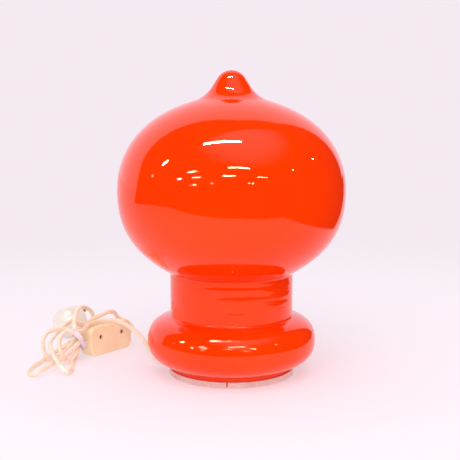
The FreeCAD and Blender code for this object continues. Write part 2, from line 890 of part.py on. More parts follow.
def make_holder():
    cap = new_body("holder_cap")
    revolve(cap, [
        (S.tube_radius + S.slip, HOLDER_FOOT),
        (S.cap_foot_radius, HOLDER_FOOT),
        (S.cap_radius, HOLDER_FOOT + S.cap_depth / 2),
        (S.cap_radius, INSERT_FOOT),
        (S.cap_radius - S.cap_wall, INSERT_FOOT),
        (S.cap_radius - S.cap_wall, HOLDER_FOOT + S.cap_depth / 2 + S.cap_wall),
        (S.cap_foot_radius - S.cap_wall / 2, HOLDER_FOOT + S.cap_wall),
        (S.tube_radius + S.slip, HOLDER_FOOT + S.cap_wall),
    ])
    keep(cap, "holder_cap")

    insert = new_body("holder_insert")
    revolve(insert, [
        (ZERO, INSERT_FOOT),
        (S.cap_radius, INSERT_FOOT),
        (S.cap_radius, INSERT_TOP - S.edge_break),
        (S.cap_radius - S.edge_break, INSERT_TOP),
        (ZERO, INSERT_TOP),
    ])
    for side in (-1, 1):
        drill(insert, S.terminal_spacing * side / 2, 0, S.terminal_screw_radius + S.slip)
    keep(insert, "holder_insert")

    shell_outer = SHELL_INNER + S.shell_wall
    shell_foot = INSERT_FOOT - S.shell_skirt
    shell_top = INSERT_TOP + S.shell_height
    shell = new_body("holder_shell")
    revolve(shell, [
        (SHELL_INNER, shell_foot),
        (shell_outer, shell_foot),
        (shell_outer, INSERT_TOP),
        (S.shell_mouth + S.shell_wall, INSERT_TOP + S.shell_wall * 2),
        (S.shell_mouth + S.shell_wall, shell_top),
        (S.shell_mouth, shell_top),
        (S.shell_mouth, SHELL_LEDGE),
        (SHELL_INNER, SHELL_LEDGE),
    ])
    keep(shell, "holder_shell")

    sleeve_inner = S.thread_sleeve_radius - S.thread_sleeve_wall
    flange_top = INSERT_TOP + S.thread_sleeve_wall
    turned("threaded_sleeve", [
        (sleeve_inner, INSERT_TOP),
        (S.thread_sleeve_flange, INSERT_TOP),
        (S.thread_sleeve_flange, flange_top),
        (S.thread_sleeve_radius, flange_top),
        (S.thread_sleeve_radius, INSERT_TOP + S.thread_sleeve_height),
        (sleeve_inner, INSERT_TOP + S.thread_sleeve_height),
    ])


def make_contacts():
    """Sprung centre contact, and two terminals whose rivets pass through the insert."""
    reach = S.terminal_spacing / 2
    thick = S.contact_thickness
    profile = [
        (-reach - S.contact_width / 2, INSERT_TOP),
        (-reach + S.contact_width / 2, INSERT_TOP),
        (S.contact_width / 2, INSERT_TOP + S.contact_lift - thick),
        (S.contact_width / 2, INSERT_TOP + S.contact_lift),
        (-S.contact_width / 2, INSERT_TOP + S.contact_lift),
        (-reach + S.contact_width / 2 - thick, INSERT_TOP + thick),
        (-reach - S.contact_width / 2, INSERT_TOP + thick),
    ]
    leaf = new_body("centre_contact")
    sketch = new_sketch(leaf, "contact_outline", "XZ_Plane")
    draw_polygon(sketch, profile)
    strip = leaf.newObject("PartDesign::Pad", "contact_strip")
    strip.Profile = sketch
    strip.Midplane = True
    bind(strip, "Length", S.contact_width)
    leaf.Tip = strip
    document.recompute()
    drill(leaf, -reach, 0, S.terminal_screw_radius + S.slip)
    keep(leaf, "centre_contact")

    terminals, screws = [], []
    for side, name in ((-1, "centre"), (1, "side")):
        across = reach * side
        foot = INSERT_FOOT - S.terminal_size
        size = S.terminal_size
        body = block(name + "_terminal_block", size, size, size, across, 0, foot)
        top = INSERT_TOP + thick
        post = cylinder(name + "_terminal_post", S.terminal_screw_radius, top - foot, across, 0, foot)
        way = cylinder(name + "_wire_way", S.core_radius + S.slip, size * 2)
        way.Placement = Placement(Vector(), Rotation(Vector(1, 0, 0), 90))
        place(way, across - S.terminal_way_shift * side, size, foot + S.terminal_way_level)
        terminals.append(cut(name + "_terminal", fused(name + "_terminal_solid", [body, post]), way))
        screws.append(terminal_screw(name, side, foot))
    keep(grouped("holder_terminals", terminals), "holder_terminals")
    keep(grouped("terminal_screws", screws), "terminal_screws")


def terminal_screw(name, side, foot):
    """A grub screw under each terminal, head down."""
    length = S.terminal_screw_length
    across = S.terminal_spacing * side / 2
    return cylinder(name + "_terminal_screw", S.terminal_screw_radius, length, across, 0, foot - length)


# Screw-in bulb: glass envelope, threaded cap, insulator, contact, mount, wires, filament.
BULB_FOOT = INSERT_TOP + S.contact_lift + S.slip
BULB_CAP_FOOT = BULB_FOOT + S.bulb_contact_height + S.bulb_insulator_height
BULB_CAP_TOP = BULB_CAP_FOOT + S.bulb_cap_height
BULB_TOP = BULB_FOOT + S.bulb_length
BULB_GLASS_FOOT = BULB_CAP_TOP - S.bulb_cap_height / 3
BULB_NECK_LEAN = 35.0
BULB_NECK_PULL = 0.45
CAP_THREADS = 5


def make_envelope():
    """A hollow pear: a ball on a tapering neck, closed at the cap by a flat."""
    def pear(radius, neck, foot, top):
        centre = top - radius
        lean = math.radians(BULB_NECK_LEAN)
        tangent = Vector(radius * math.cos(lean), 0, centre - radius * math.sin(lean))
        equator = Vector(radius, 0, centre)
        pole = Vector(0, 0, top)
        upper = radius / math.sqrt(2)
        half = lean / 2
        low_middle = Vector(radius * math.cos(half), 0, centre - radius * math.sin(half))
        bottom = Vector(neck, 0, foot)
        shoulder = Part.BezierCurve()
        run = (tangent.z - foot) * BULB_NECK_PULL
        lean_back = Vector(tangent.x - run * math.sin(lean), 0, tangent.z - run * math.cos(lean))
        shoulder.setPoles([bottom, bottom + Vector(0, 0, run), lean_back, tangent])
        return [
            Part.makeLine(Vector(0, 0, foot), bottom),
            shoulder.toShape(),
            Part.Arc(tangent, low_middle, equator).toShape(),
            Part.Arc(equator, Vector(upper, 0, centre + upper), pole).toShape(),
            Part.makeLine(pole, Vector(0, 0, foot)),
        ]

    def revolved(edges):
        return Part.Face(Part.Wire(edges)).revolve(Vector(), UP, 360)

    wall = S.bulb_wall.value
    foot = BULB_GLASS_FOOT.value
    outside = revolved(pear(S.bulb_radius.value, S.bulb_neck_radius.value, foot, BULB_TOP.value))
    inside = revolved(pear(
        S.bulb_radius.value - wall, S.bulb_neck_radius.value - wall, foot + wall, BULB_TOP.value - wall))
    envelope = document.addObject("Part::Feature", "bulb_envelope")
    envelope.Shape = outside.cut(inside)
    keep(envelope, "bulb_envelope")


def make_bulb():
    mount_foot = BULB_GLASS_FOOT + S.bulb_wall
    make_envelope()
    inner = S.bulb_cap_radius - S.bulb_cap_wall
    pitch = S.bulb_cap_height / (CAP_THREADS + 1)
    corners = [(inner, BULB_CAP_FOOT), (S.bulb_cap_radius - S.thread_depth, BULB_CAP_FOOT)]
    for ridge in range(CAP_THREADS):
        level = BULB_CAP_FOOT + pitch * (ridge + 0.5)
        corners.append((S.bulb_cap_radius, level))
        corners.append((S.bulb_cap_radius - S.thread_depth / 2, level + pitch / 2))
    corners += [(S.bulb_cap_radius, BULB_CAP_TOP), (inner, BULB_CAP_TOP)]
    turned("bulb_cap", corners)
    lip = S.bulb_contact_radius + S.edge_break
    turned("bulb_insulator", [
        (ZERO, BULB_FOOT + S.bulb_contact_height),
        (lip, BULB_FOOT + S.bulb_contact_height),
        (inner, BULB_CAP_FOOT),
        (inner, BULB_CAP_FOOT + S.edge_break),
        (ZERO, BULB_CAP_FOOT + S.edge_break),
    ])
    turned("bulb_tip_contact", [
        (ZERO, BULB_FOOT),
        (S.bulb_contact_radius - S.bulb_contact_height, BULB_FOOT),
        (S.bulb_contact_radius, BULB_FOOT + S.bulb_contact_height),
        (ZERO, BULB_FOOT + S.bulb_contact_height),
    ])
    mount_top = mount_foot + S.bulb_mount_height
    turned("bulb_mount", [
        (ZERO, mount_foot),
        (S.bulb_mount_radius + S.bulb_mount_flare, mount_foot),
        (S.bulb_mount_radius, mount_foot + S.bulb_mount_height / 3),
        (S.bulb_mount_radius, mount_top),
        (ZERO, mount_top),
    ])
    make_wires(mount_top)


def make_wires(mount_top):
    """Two lead wires that rise and spread from the mount, and a filament between them."""
    spread = S.lead_wire_spread.value
    rise = S.lead_wire_length.value
    radius = S.lead_wire_radius.value
    seat = S.bulb_mount_radius.value + radius
    low = mount_top.value - rise / 2
    wires = []
    for side in (-1, 1):
        foot = Vector(seat * side, 0, low)
        knee = Vector(seat * side, 0, mount_top.value)
        tip = Vector(spread * side, 0, mount_top.value + rise)
        wires.append(rod([foot, knee, tip], radius))
    item = document.addObject("Part::Feature", "bulb_lead_wires")
    item.Shape = Part.makeCompound(wires)
    keep(item, "bulb_lead_wires")
    coil_radius = S.filament_radius.value
    level = mount_top.value + rise + coil_radius + radius
    middle = Vector(0, 0, level + spread / 2)
    left, right = Vector(-spread, 0, level), Vector(spread, 0, level)
    bow = Part.Arc(left, middle, right).toShape()
    arc = Part.Wire([bow])
    ring = Part.Wire([Part.makeCircle(coil_radius, left, bow.tangentAt(bow.FirstParameter))])
    filament = document.addObject("Part::Feature", "bulb_filament")
    filament.Shape = arc.makePipeShell([ring], True, False)
    keep(filament, "bulb_filament")


def rod(points, radius):
    """A thin wire of straight lengths, joined by balls at its bends."""
    shape = None
    for start, end in zip(points, points[1:]):
        length = Part.makeCylinder(radius, (end - start).Length, start, end - start)
        shape = length if shape is None else shape.fuse(length)
    for bend in points[1:-1]:
        shape = shape.fuse(Part.makeSphere(radius, bend))
    return shape.removeSplitter()


# Cord grip under the plate: a block, a bar and two screws that clamp the cord.
CORD_RADIUS = S.cord_width / 2
CORD_LEVEL = S.grip_bar_level + S.grip_bar_height + CORD_RADIUS


def make_grip():
    away = -S.grip_distance
    foot = CORD_LEVEL
    grip = new_body("cord_grip")
    half_length = S.grip_length / 2
    half_width = S.grip_width / 2
    outline = rectangle(away - half_length, -half_width, away + half_length, half_width)
    pad(grip, lambda sketch: draw_polygon(sketch, outline), foot, S.plate_height - foot)
    groove(grip)
    for side in (-1, 1):
        drill(grip, away, S.grip_screw_spacing * side / 2, S.grip_screw_radius + S.slip)
    turned_by(grip, S.cord_exit_angle - 180)
    keep(grip, "cord_grip")

    bar = new_body("cord_clamp")
    pad(bar, lambda sketch: draw_polygon(sketch, outline), S.grip_bar_level, foot - S.grip_bar_level - S.slip)
    groove(bar)
    for side in (-1, 1):
        drill(bar, away, S.grip_screw_spacing * side / 2, S.grip_screw_radius + S.slip)
    turned_by(bar, S.cord_exit_angle - 180)
    keep(bar, "cord_clamp")

    screws = new_body("grip_screws")
    head_foot = S.grip_bar_level - S.grip_screw_head_height
    tip = PLATE_TOP + S.thread_overhang * 2
    corners = [
        (ZERO, head_foot),
        (S.grip_screw_head_radius, head_foot),
        (S.grip_screw_head_radius, S.grip_bar_level),
        (S.grip_screw_radius, S.grip_bar_level),
        (S.grip_screw_radius, tip),
        (ZERO, tip),
    ]
    sketch = new_sketch(screws, "grip_screw_outline", "XZ_Plane")
    sketch.AttachmentOffset = Placement(
        Vector(away.value, 0, -S.grip_screw_spacing.value / 2), Rotation())
    bind(sketch, ".AttachmentOffset.Base.x", away)
    bind(sketch, ".AttachmentOffset.Base.z", -S.grip_screw_spacing / 2)
    draw_polygon(sketch, corners)
    turn = screws.newObject("PartDesign::Revolution", "grip_screw")
    turn.Profile = sketch
    turn.ReferenceAxis = (sketch, ["V_Axis"])
    turn.Angle = 360
    screws.Tip = turn
    document.recompute()
    pair = screws.newObject("PartDesign::Mirrored", "grip_screw_pair")
    pair.Originals = [turn]
    pair.MirrorPlane = (origin_feature(screws, "XZ_Plane"), [""])
    screws.Tip = pair
    turned_by(screws, S.cord_exit_angle - 180)
    keep(screws, "grip_screws")


def groove(body):
    """The round channel that holds the cord, along X at the cord's level."""
    before = volume_of(body)
    sketch = new_sketch(body, body.Name + "_channel_sketch", "YZ_Plane")
    draw_circle(sketch, 0, CORD_LEVEL, CORD_RADIUS)
    channel = body.newObject("PartDesign::Pocket", body.Name + "_channel")
    channel.Profile = sketch
    channel.Type = 1
    channel.Midplane = True
    document.recompute()
    body.Tip = channel
    check_cut(body, before)


# Cords: straight runs joined by tangent arcs, in round section as wide as the flat cord.
BEND_SHARE = 0.45
FLOOR_CLEARANCE = 0.7


def route_wire(points, room=None):
    """Runs joined by arcs, each as large as its two runs, or the room, allow."""
    edges, radii = [], []
    last = points[0]
    for before, corner, after in zip(points, points[1:], points[2:]):
        inward, outward = corner - before, after - corner
        half_turn = inward.getAngle(outward) / 2
        radius = BEND_SHARE * min(inward.Length, outward.Length) / math.tan(half_turn)
        if room is not None:
            radius = min(radius, room)
        reach = radius * math.tan(half_turn)
        start = corner - Vector(inward).normalize() * reach
        end = corner + Vector(outward).normalize() * reach
        towards = corner - (start + end) / 2
        depth = radius / math.cos(half_turn) - radius
        middle = corner - Vector(towards).normalize() * depth
        edges.append(Part.LineSegment(last, start).toShape())
        edges.append(Part.Arc(start, middle, end).toShape())
        radii.append(radius)
        last = end
    edges.append(Part.LineSegment(last, points[-1]).toShape())
    return Part.Wire(edges), radii


def tube_solid(points, radius, room=None):
    wire, radii = route_wire(points, room)
    ring = Part.Wire([Part.makeCircle(radius, points[0], points[1] - points[0])])
    return wire.makePipeShell([ring], True, False, 1), wire.Length, radii


def tube_along(label, points, radius, room=None):
    solid, length, radii = tube_solid(points, radius, room)
    share = solid.Volume / (math.pi * radius ** 2 * length)
    print("%s: %.1f mm long, bend radii %s, volume share %.4f" % (
        label, length, " ".join("%.1f" % bend for bend in radii), share))
    if abs(share - 1.0) > 0.02:
        raise ValueError(label + ": the tube's volume is not its section times its length")
    item = document.addObject("Part::Feature", label)
    item.Shape = solid
    keep(item, label)


INNER_FIRST_RUN = 14.0
GRIP_STRAIGHT = 4.0
INNER_LAST_SHARE = 1.45
CORE_SPLIT = 1.05


def make_inner_cord():
    """The cord inside the lamp: from the notch through the grip and up the tube."""
    radius = CORD_RADIUS.value
    grip_level = CORD_LEVEL.value
    low_level = radius + FLOOR_CLEARANCE
    grip, half = S.grip_distance.value, S.grip_length.value / 2
    room = TUBE_FOOT.value - low_level
    top = (TUBE_TOP + S.thread_overhang * 2).value
    leave = exit_point(EXIT_DISTANCE.value, radius)
    points = [
        leave,
        leave - slanted_way() * INNER_FIRST_RUN,
        exit_point(grip + half + GRIP_STRAIGHT, grip_level),
        exit_point(grip - half - GRIP_STRAIGHT, grip_level),
        exit_point(room * INNER_LAST_SHARE, low_level),
        Vector(0, 0, low_level),
        Vector(0, 0, top),
    ]
    tube_along("inner_cord", points, radius, room)
    make_cores(top)


def make_cores(sheath_end):
    """The two cores, which part above the sheath and end in the terminals."""
    radius = S.core_radius.value
    size = S.terminal_size.value
    level = (INSERT_FOOT - S.terminal_size + S.terminal_way_level).value
    bare = S.core_bare_length.value
    cores = []
    for side in (-1, 1):
        across = (S.terminal_spacing / 2 - S.terminal_way_shift).value * side
        points = [
            Vector(radius * CORE_SPLIT * side, 0, sheath_end),
            Vector(radius * CORE_SPLIT * side, 0, sheath_end + bare),
            Vector(across, -size - bare / 2, level),
            Vector(across, 0, level),
        ]
        cores.append(tube_solid(points, radius)[0])
    item = document.addObject("Part::Feature", "core_tails")
    item.Shape = Part.makeCompound(cores)
    keep(item, "core_tails")


# The switch's own frame: X along it, Y across it, Z from its back to its rocker side.
SWITCH_CENTRE = Vector(-155.0, 87.0, 17.8)
SWITCH_BEARING = 52.0
SWITCH_TILT = 2.0


def switch_placement():
    bearing, tilt = math.radians(SWITCH_BEARING), math.radians(SWITCH_TILT)
    along = Vector(-math.cos(bearing), -math.sin(bearing), 0)
    back = Vector(math.sin(bearing) * math.cos(tilt), -math.cos(bearing) * math.cos(tilt), math.sin(tilt))
    front = -back
    up = front.cross(along)
    return Placement(SWITCH_CENTRE, Rotation(along, up, front, "ZXY"))


def on_switch(item, label):
    item.Placement = switch_placement()
    return keep(item, label)


def rounded_slab(name, level, height, inset=None):
    """The switch's outline with round corners, raised from a level."""
    body = new_body(name)
    shrink = inset if inset is not None else ZERO
    length = S.switch_length - shrink * 2
    width = S.switch_width - shrink * 2
    pad(body, lambda sketch: draw_polygon(sketch, centred_rectangle(length, width)), level, height)
    round_edges(body, is_upright, S.switch_corner - shrink, name + "_corners")
    return body


def is_upright(edge):
    box = edge.BoundBox
    return box.XLength < 0.01 and box.YLength < 0.01


def edge_at_level(level):
    def wanted(edge):
        box = edge.BoundBox
        return box.ZLength < 0.01 and abs(box.ZMax - level.value) < 0.01
    return wanted


HALF_THICK = S.switch_thickness / 2
SCREW_REACH = S.switch_screw_spacing / 2
CLAMP_REACH = S.switch_length / 2 - S.switch_wall - S.switch_clamp_length / 2 - S.switch_clamp_margin
TERMINAL_REACH = SCREW_REACH / 2.4


def switch_shell(name, back):
    """One half of the switch's box: walls, floor, screw bosses and half of each cord hole."""
    foot = -HALF_THICK if back else ZERO
    shell = rounded_slab(name, foot, HALF_THICK)
    outer = -HALF_THICK if back else HALF_THICK
    round_edges(shell, edge_at_level(outer), S.switch_edge, name + "_edge")
    inset = S.switch_wall
    length, width = S.switch_length - inset * 2, S.switch_width - inset * 2
    room = cut_rectangle(length, width, (S.switch_corner - inset) * CORNER_CUT)
    depth = HALF_THICK - S.switch_wall
    sink(shell, lambda sketch: draw_polygon(sketch, room), ZERO, depth, upwards=not back)
    for side in (-1, 1):
        cylinder_pad(shell, SCREW_REACH * side, S.switch_boss_radius, foot, HALF_THICK, side)
    return shell


def cylinder_pad(body, x, radius, level, height, side):
    sketch = new_sketch(body, "%s_boss_sketch_%d" % (body.Name, side + 1), "XY_Plane", as_size(level))
    draw_circle(sketch, x, S.switch_screw_shift, radius)
    boss = body.newObject("PartDesign::Pad", "%s_boss_%d" % (body.Name, side + 1))
    boss.Profile = sketch
    bind(boss, "Length", height)
    document.recompute()
    body.Tip = boss


def cord_hole(body):
    """The holes at both ends of the switch for the cord."""
    before = volume_of(body)
    sketch = new_sketch(body, body.Name + "_cord_sketch", "YZ_Plane")
    draw_circle(sketch, 0, 0, CORD_RADIUS + S.slip)
    hole = body.newObject("PartDesign::Pocket", body.Name + "_cord_hole")
    hole.Profile = sketch
    hole.Type = 1
    hole.Midplane = True
    document.recompute()
    body.Tip = hole
    check_cut(body, before)


def make_switch():
    back = switch_shell("switch_back", True)
    cord_hole(back)
    for side in (-1, 1):
        x = SCREW_REACH * side
        drill(back, x, S.switch_screw_shift, S.switch_screw_radius + S.slip)
        recess = S.switch_screw_head_radius + S.slip
        depth = S.switch_screw_recess + S.switch_screw_head_height
        place = (x, S.switch_screw_shift, recess)
        sink(back, lambda sketch: draw_circle(sketch, *place), -HALF_THICK, depth, upwards=True)
    on_switch(back, "switch_back")

    front = switch_shell("switch_front", False)
    cord_hole(front)
    for side in (-1, 1):
        drill(front, SCREW_REACH * side, S.switch_screw_shift, S.switch_screw_radius)
    window = centred_rectangle(
        S.rocker_length + S.rocker_clearance * 2, S.rocker_width + S.rocker_clearance * 2)
    sink(front, lambda sketch: draw_polygon(sketch, window), HALF_THICK, S.switch_wall + S.edge_break)
    add_pin_ears(front)
    on_switch(front, "switch_front")
    make_rocker()
    make_switch_inside()


ROCKER_AXIS = HALF_THICK - S.switch_wall - S.rocker_pin_radius * 1.5


def add_pin_ears(front):
    """Two ears inside the window's long sides, which hold the rocker's pin."""
    half = S.rocker_ear_length / 2
    inner = S.rocker_width / 2 + S.rocker_clearance
    outer = inner + S.switch_wall
    foot = ROCKER_AXIS - S.rocker_ear_depth
    for side in (-1, 1):
        low, high = (inner, outer) if side > 0 else (-outer, -inner)
        corners = rectangle(-half, low, half, high)
        sketch = new_sketch(front, "ear_sketch_%d" % (side + 1), "XY_Plane", foot)
        draw_polygon(sketch, corners)
        ear = front.newObject("PartDesign::Pad", "ear_%d" % (side + 1))
        ear.Profile = sketch
        bind(ear, "Length", HALF_THICK - foot - S.switch_wall / 2)
        document.recompute()
        front.Tip = ear
    before = volume_of(front)
    sketch = new_sketch(front, "pin_sketch", "XZ_Plane")
    draw_circle(sketch, 0, ROCKER_AXIS, S.rocker_pin_radius)
    hole = front.newObject("PartDesign::Pocket", "pin_hole")
    hole.Profile = sketch
    hole.Midplane = True
    bind(hole, "Length", outer * 2)
    document.recompute()
    front.Tip = hole
    check_cut(front, before)


def make_rocker():
    """A shallow V seen from the side; at rest one end stands proud of the box."""
    half = S.rocker_length / 2
    crown = HALF_THICK - ROCKER_AXIS
    corners = [
        (-half, crown - S.rocker_shoulder),
        (-half + S.rocker_draft, crown + S.rocker_crown),
        (ZERO, crown + S.rocker_crown - S.rocker_dip),
        (half - S.rocker_draft, crown + S.rocker_crown),
        (half, crown - S.rocker_shoulder),
        (half / 3, crown - S.rocker_height),
        (-half / 3, crown - S.rocker_height),
    ]
    rocker = new_body("switch_rocker")
    sketch = new_sketch(rocker, "rocker_outline", "XZ_Plane")
    draw_polygon(sketch, corners)
    key = rocker.newObject("PartDesign::Pad", "rocker_key")
    key.Profile = sketch
    key.Midplane = True
    bind(key, "Length", S.rocker_width)
    rocker.Tip = key
    document.recompute()
    drill(rocker, 0, 0, S.rocker_pin_radius + S.rocker_running_fit, "XZ_Plane")
    local = Placement(Vector(0, 0, ROCKER_AXIS.value), Rotation(Vector(0, 1, 0), S.rocker_lean.value))
    rocker.Placement = switch_placement().multiply(local)
    keep(rocker, "switch_rocker")

    pin = new_body("rocker_pin")
    sketch = new_sketch(pin, "pin_outline", "XZ_Plane")
    draw_circle(sketch, 0, ROCKER_AXIS, S.rocker_pin_radius)
    rod_pad = pin.newObject("PartDesign::Pad", "pin_rod")
    rod_pad.Profile = sketch
    rod_pad.Midplane = True
    bind(rod_pad, "Length", S.rocker_width + (S.rocker_clearance + S.switch_wall) * 2)
    pin.Tip = rod_pad
    on_switch(pin, "rocker_pin")


def make_switch_inside():
    """Screws, terminals, contact strip and cord clamps inside the box."""
    floor = -HALF_THICK + S.switch_wall
    seat = -HALF_THICK + S.switch_screw_recess + S.switch_screw_head_height
    screws = new_body("switch_screws")
    tip = HALF_THICK - S.switch_wall
    corners = [
        (ZERO, seat - S.switch_screw_head_height),
        (S.switch_screw_head_radius, seat - S.switch_screw_head_height),
        (S.switch_screw_head_radius, seat),
        (S.switch_screw_radius, seat),
        (S.switch_screw_radius, tip),
        (ZERO, tip),
    ]
    shifted_turn(screws, corners, SCREW_REACH, count=2)
    screws.Placement = switch_placement().multiply(Placement(Vector(0, S.switch_screw_shift.value, 0), Rotation()))
    keep(screws, "switch_screws")

    size = S.switch_terminal_size
    shift = S.switch_width / 2 - S.switch_wall - size / 2 - S.slip
    pieces = []
    for side in (-1, 1):
        name = "switch_terminal_%d" % (side + 1)
        pieces.append(block(name, S.switch_terminal_length, size, size, TERMINAL_REACH * side, shift, floor))
    on_switch(grouped("switch_terminals", pieces), "switch_terminals")

    strip = new_body("switch_contact")
    reach = TERMINAL_REACH + S.switch_terminal_length / 2
    top = floor + size
    thick = S.switch_contact_thickness
    outline = [
        (-reach, top),
        (reach, top),
        (reach, top + thick),
        (reach - S.switch_terminal_length, top + thick),
        (ZERO, top + thick * 3),
        (-reach + S.switch_terminal_length, top + thick),
        (-reach, top + thick),
    ]
    sketch = new_sketch(strip, "contact_strip_outline", "XZ_Plane")
    sketch.AttachmentOffset = Placement(Vector(0, 0, -shift.value), Rotation())
    bind(sketch, ".AttachmentOffset.Base.z", -shift)
    draw_polygon(sketch, outline)
    leaf = strip.newObject("PartDesign::Pad", "contact_leaf")
    leaf.Profile = sketch
    leaf.Midplane = True
    bind(leaf, "Length", size / 2)
    strip.Tip = leaf
    on_switch(strip, "switch_contact")

    clamps = []
    height = -CORD_RADIUS - floor
    for side in (-1, 1):
        name = "switch_clamp_%d" % (side + 1)
        across = CLAMP_REACH * side
        clamps.append(block(name, S.switch_clamp_length, S.cord_width * 2, height, across, 0, floor))
    on_switch(grouped("switch_cord_clamps", clamps), "switch_cord_clamps")


# The plug's own frame: Z along its pins, Y towards its cord.
PLUG_CENTRE = Vector(-209.7, 164.0, 19.6)
PLUG_BEARING = 60.0
PLUG_CORD_TURN = 96.0


def plug_placement():
    bearing = math.radians(PLUG_BEARING)
    pins = Vector(math.cos(bearing), math.sin(bearing), 0)
    spin = Rotation(pins, PLUG_CORD_TURN)
    across = spin.multVec(UP)
    return Placement(PLUG_CENTRE, Rotation(across.cross(pins), across, pins, "ZXY"))


def on_plug(item, label):
    item.Placement = plug_placement()
    return keep(item, label)


PLUG_INNER = S.plug_radius - S.plug_wall
SLEEVE_LEVEL = -S.plug_sleeve_level


def make_plug():
    cover = new_body("plug_cover")
    step = S.plug_slope
    inner_step = step - S.plug_wall
    revolve(cover, [
        (PLUG_INNER, ZERO),
        (S.plug_radius, ZERO),
        (S.plug_radius, -S.plug_cover_height + step),
        (S.plug_radius - step, -S.plug_cover_height),
        (ZERO, -S.plug_cover_height),
        (ZERO, -S.plug_cover_height + S.plug_wall),
        (PLUG_INNER - inner_step, -S.plug_cover_height + S.plug_wall),
        (PLUG_INNER, -S.plug_cover_height + S.plug_wall + inner_step),
    ])
    document.recompute()
    rim = S.plug_radius.value
    round_edges(cover, lambda edge: is_bend(edge, rim, step.value), S.plug_round, "cover_round")
    before = volume_of(cover)
    sketch = new_sketch(cover, "cover_cord_sketch", "XZ_Plane")
    draw_circle(sketch, 0, SLEEVE_LEVEL, S.plug_sleeve_radius + S.slip)
    hole = cover.newObject("PartDesign::Pocket", "cover_cord_hole")
    hole.Profile = sketch
    bind(hole, "Length", S.plug_radius * 2)
    document.recompute()
    cover.Tip = hole
    check_cut(cover, before)
    on_plug(cover, "plug_cover")

    face = new_body("plug_face")
    revolve(face, [
        (ZERO, ZERO),
        (S.plug_radius, ZERO),
        (S.plug_radius, S.plug_face_height - S.edge_break),
        (S.plug_radius - S.edge_break, S.plug_face_height),
        (ZERO, S.plug_face_height),
    ])
    document.recompute()
    collar = S.pin_radius + S.pin_collar
    for side in (-1, 1):
        drill(face, S.pin_spacing * side / 2, 0, collar)
    drill(face, 0, 0, S.plug_screw_radius + S.slip)
    head_seat = S.plug_screw_head_height + S.plug_screw_depth
    recess = S.plug_screw_head_radius + S.slip
    sink(face, lambda sketch: draw_circle(sketch, 0, 0, recess), S.plug_face_height, head_seat)
    on_plug(face, "plug_face")

    pins = new_body("plug_pins")
    tip = S.plug_face_height + S.pin_length
    shifted_turn(pins, [
        (ZERO, -S.pin_root),
        (collar, -S.pin_root),
        (collar, S.plug_face_height),
        (S.pin_radius, S.plug_face_height),
        (S.pin_radius, tip - S.pin_tip),
        (S.pin_radius - S.pin_tip, tip),
        (ZERO, tip),
    ], S.pin_spacing / 2, count=2)
    on_plug(pins, "plug_pins")

    seat = S.plug_face_height - head_seat
    screw_foot = -S.plug_cover_height + S.plug_wall
    screw = new_body("plug_screw")
    revolve(screw, [
        (ZERO, screw_foot),
        (S.plug_screw_radius, screw_foot),
        (S.plug_screw_radius, seat),
        (S.plug_screw_head_radius, seat),
        (S.plug_screw_head_radius, seat + S.plug_screw_head_height),
        (ZERO, seat + S.plug_screw_head_height),
    ])
    on_plug(screw, "plug_screw")
    make_sleeve()


def is_bend(edge, radius, step):
    """The two circles where the cover's side meets its slope and the slope meets its end."""
    box = edge.BoundBox
    flat = box.ZLength < 0.01 and box.ZMax < -step
    reach = box.XMax
    return flat and (abs(reach - radius) < 0.05 or abs(reach - (radius - step)) < 0.05)


def make_sleeve():
    """Tapered rubber sleeve that guards the cord where it enters the plug."""
    start = PLUG_INNER - S.plug_sleeve_depth
    flange = S.plug_sleeve_radius + S.plug_sleeve_flange
    seat = PLUG_INNER - S.plug_sleeve_flange * 2
    end = S.plug_radius + S.plug_sleeve_length
    bore = CORD_RADIUS
    outline = [
        (bore, start),
        (flange, start),
        (flange, seat),
        (S.plug_sleeve_radius, seat),
        (S.plug_sleeve_radius, S.plug_radius + S.edge_break),
        (bore + S.plug_sleeve_lip, end),
        (bore, end),
    ]
    sleeve = new_body("plug_sleeve")
    sketch = new_sketch(sleeve, "sleeve_outline", "XY_Plane", SLEEVE_LEVEL)
    draw_polygon(sketch, outline)
    turn = sleeve.newObject("PartDesign::Revolution", "sleeve_turned")
    turn.Profile = sketch
    turn.ReferenceAxis = (sketch, ["V_Axis"])
    turn.Angle = 360
    sleeve.Tip = turn
    on_plug(sleeve, "plug_sleeve")

    level = SLEEVE_LEVEL + CORD_RADIUS
    inward = S.plug_radius / 2
    clamp = block("plug_clamp_bar", S.plug_radius, S.contact_width, -level, 0, inward, level)
    on_plug(grouped("plug_clamp", [clamp]), "plug_clamp")


# Routes of the free cord, chosen by hand: first the lead from the lamp to the hank.
LEAD_ROUTE = [
    (-72.10, 13.75, 2.7),
    (-78.33, 18.76, 2.7),
    (-87.5, 27.0, 5.5),
    (-96.9, 38.0, 11.4),
    (-103.9, 54.0, 16.4),
    (-112.3, 70.0, 22.5),
    (-123.5, 82.0, 29.5),
    (-136.0, 87.5, 37.6),
    (-147.5, 88.0, 38.8),
    (-161.4, 83.8, 38.4),
    (-169.1, 72.9, 38.4),
    (-174.0, 60.0, 38.0),
    (-177.0, 52.5, 35.5),
    (-181.0, 46.0, 32.0),
]
SWITCH_INPUT_ROUTE = [
    (-173.78, 62.97, 17.8),
    (-180.24, 54.69, 17.8),
    (-183.5, 48.5, 19.0),
]
SWITCH_OUTPUT_ROUTE = [
    (-136.22, 111.03, 17.8),
    (-129.76, 119.31, 17.8),
    (-127.0, 130.5, 18.2),
    (-135.0, 142.5, 21.0),
    (-147.5, 141.5, 29.0),
    (-150.5, 133.0, 39.5),
    (-160.0, 127.5, 43.0),
    (-171.0, 119.5, 38.0),
    (-183.0, 109.0, 33.5),
]
PLUG_ROUTE = [
    (-185.82, 137.74, 16.05),
    (-179.36, 134.01, 15.26),
    (-169.0, 128.0, 15.0),
    (-164.5, 119.5, 16.0),
    (-169.5, 110.5, 18.0),
    (-176.0, 106.0, 19.5),
]
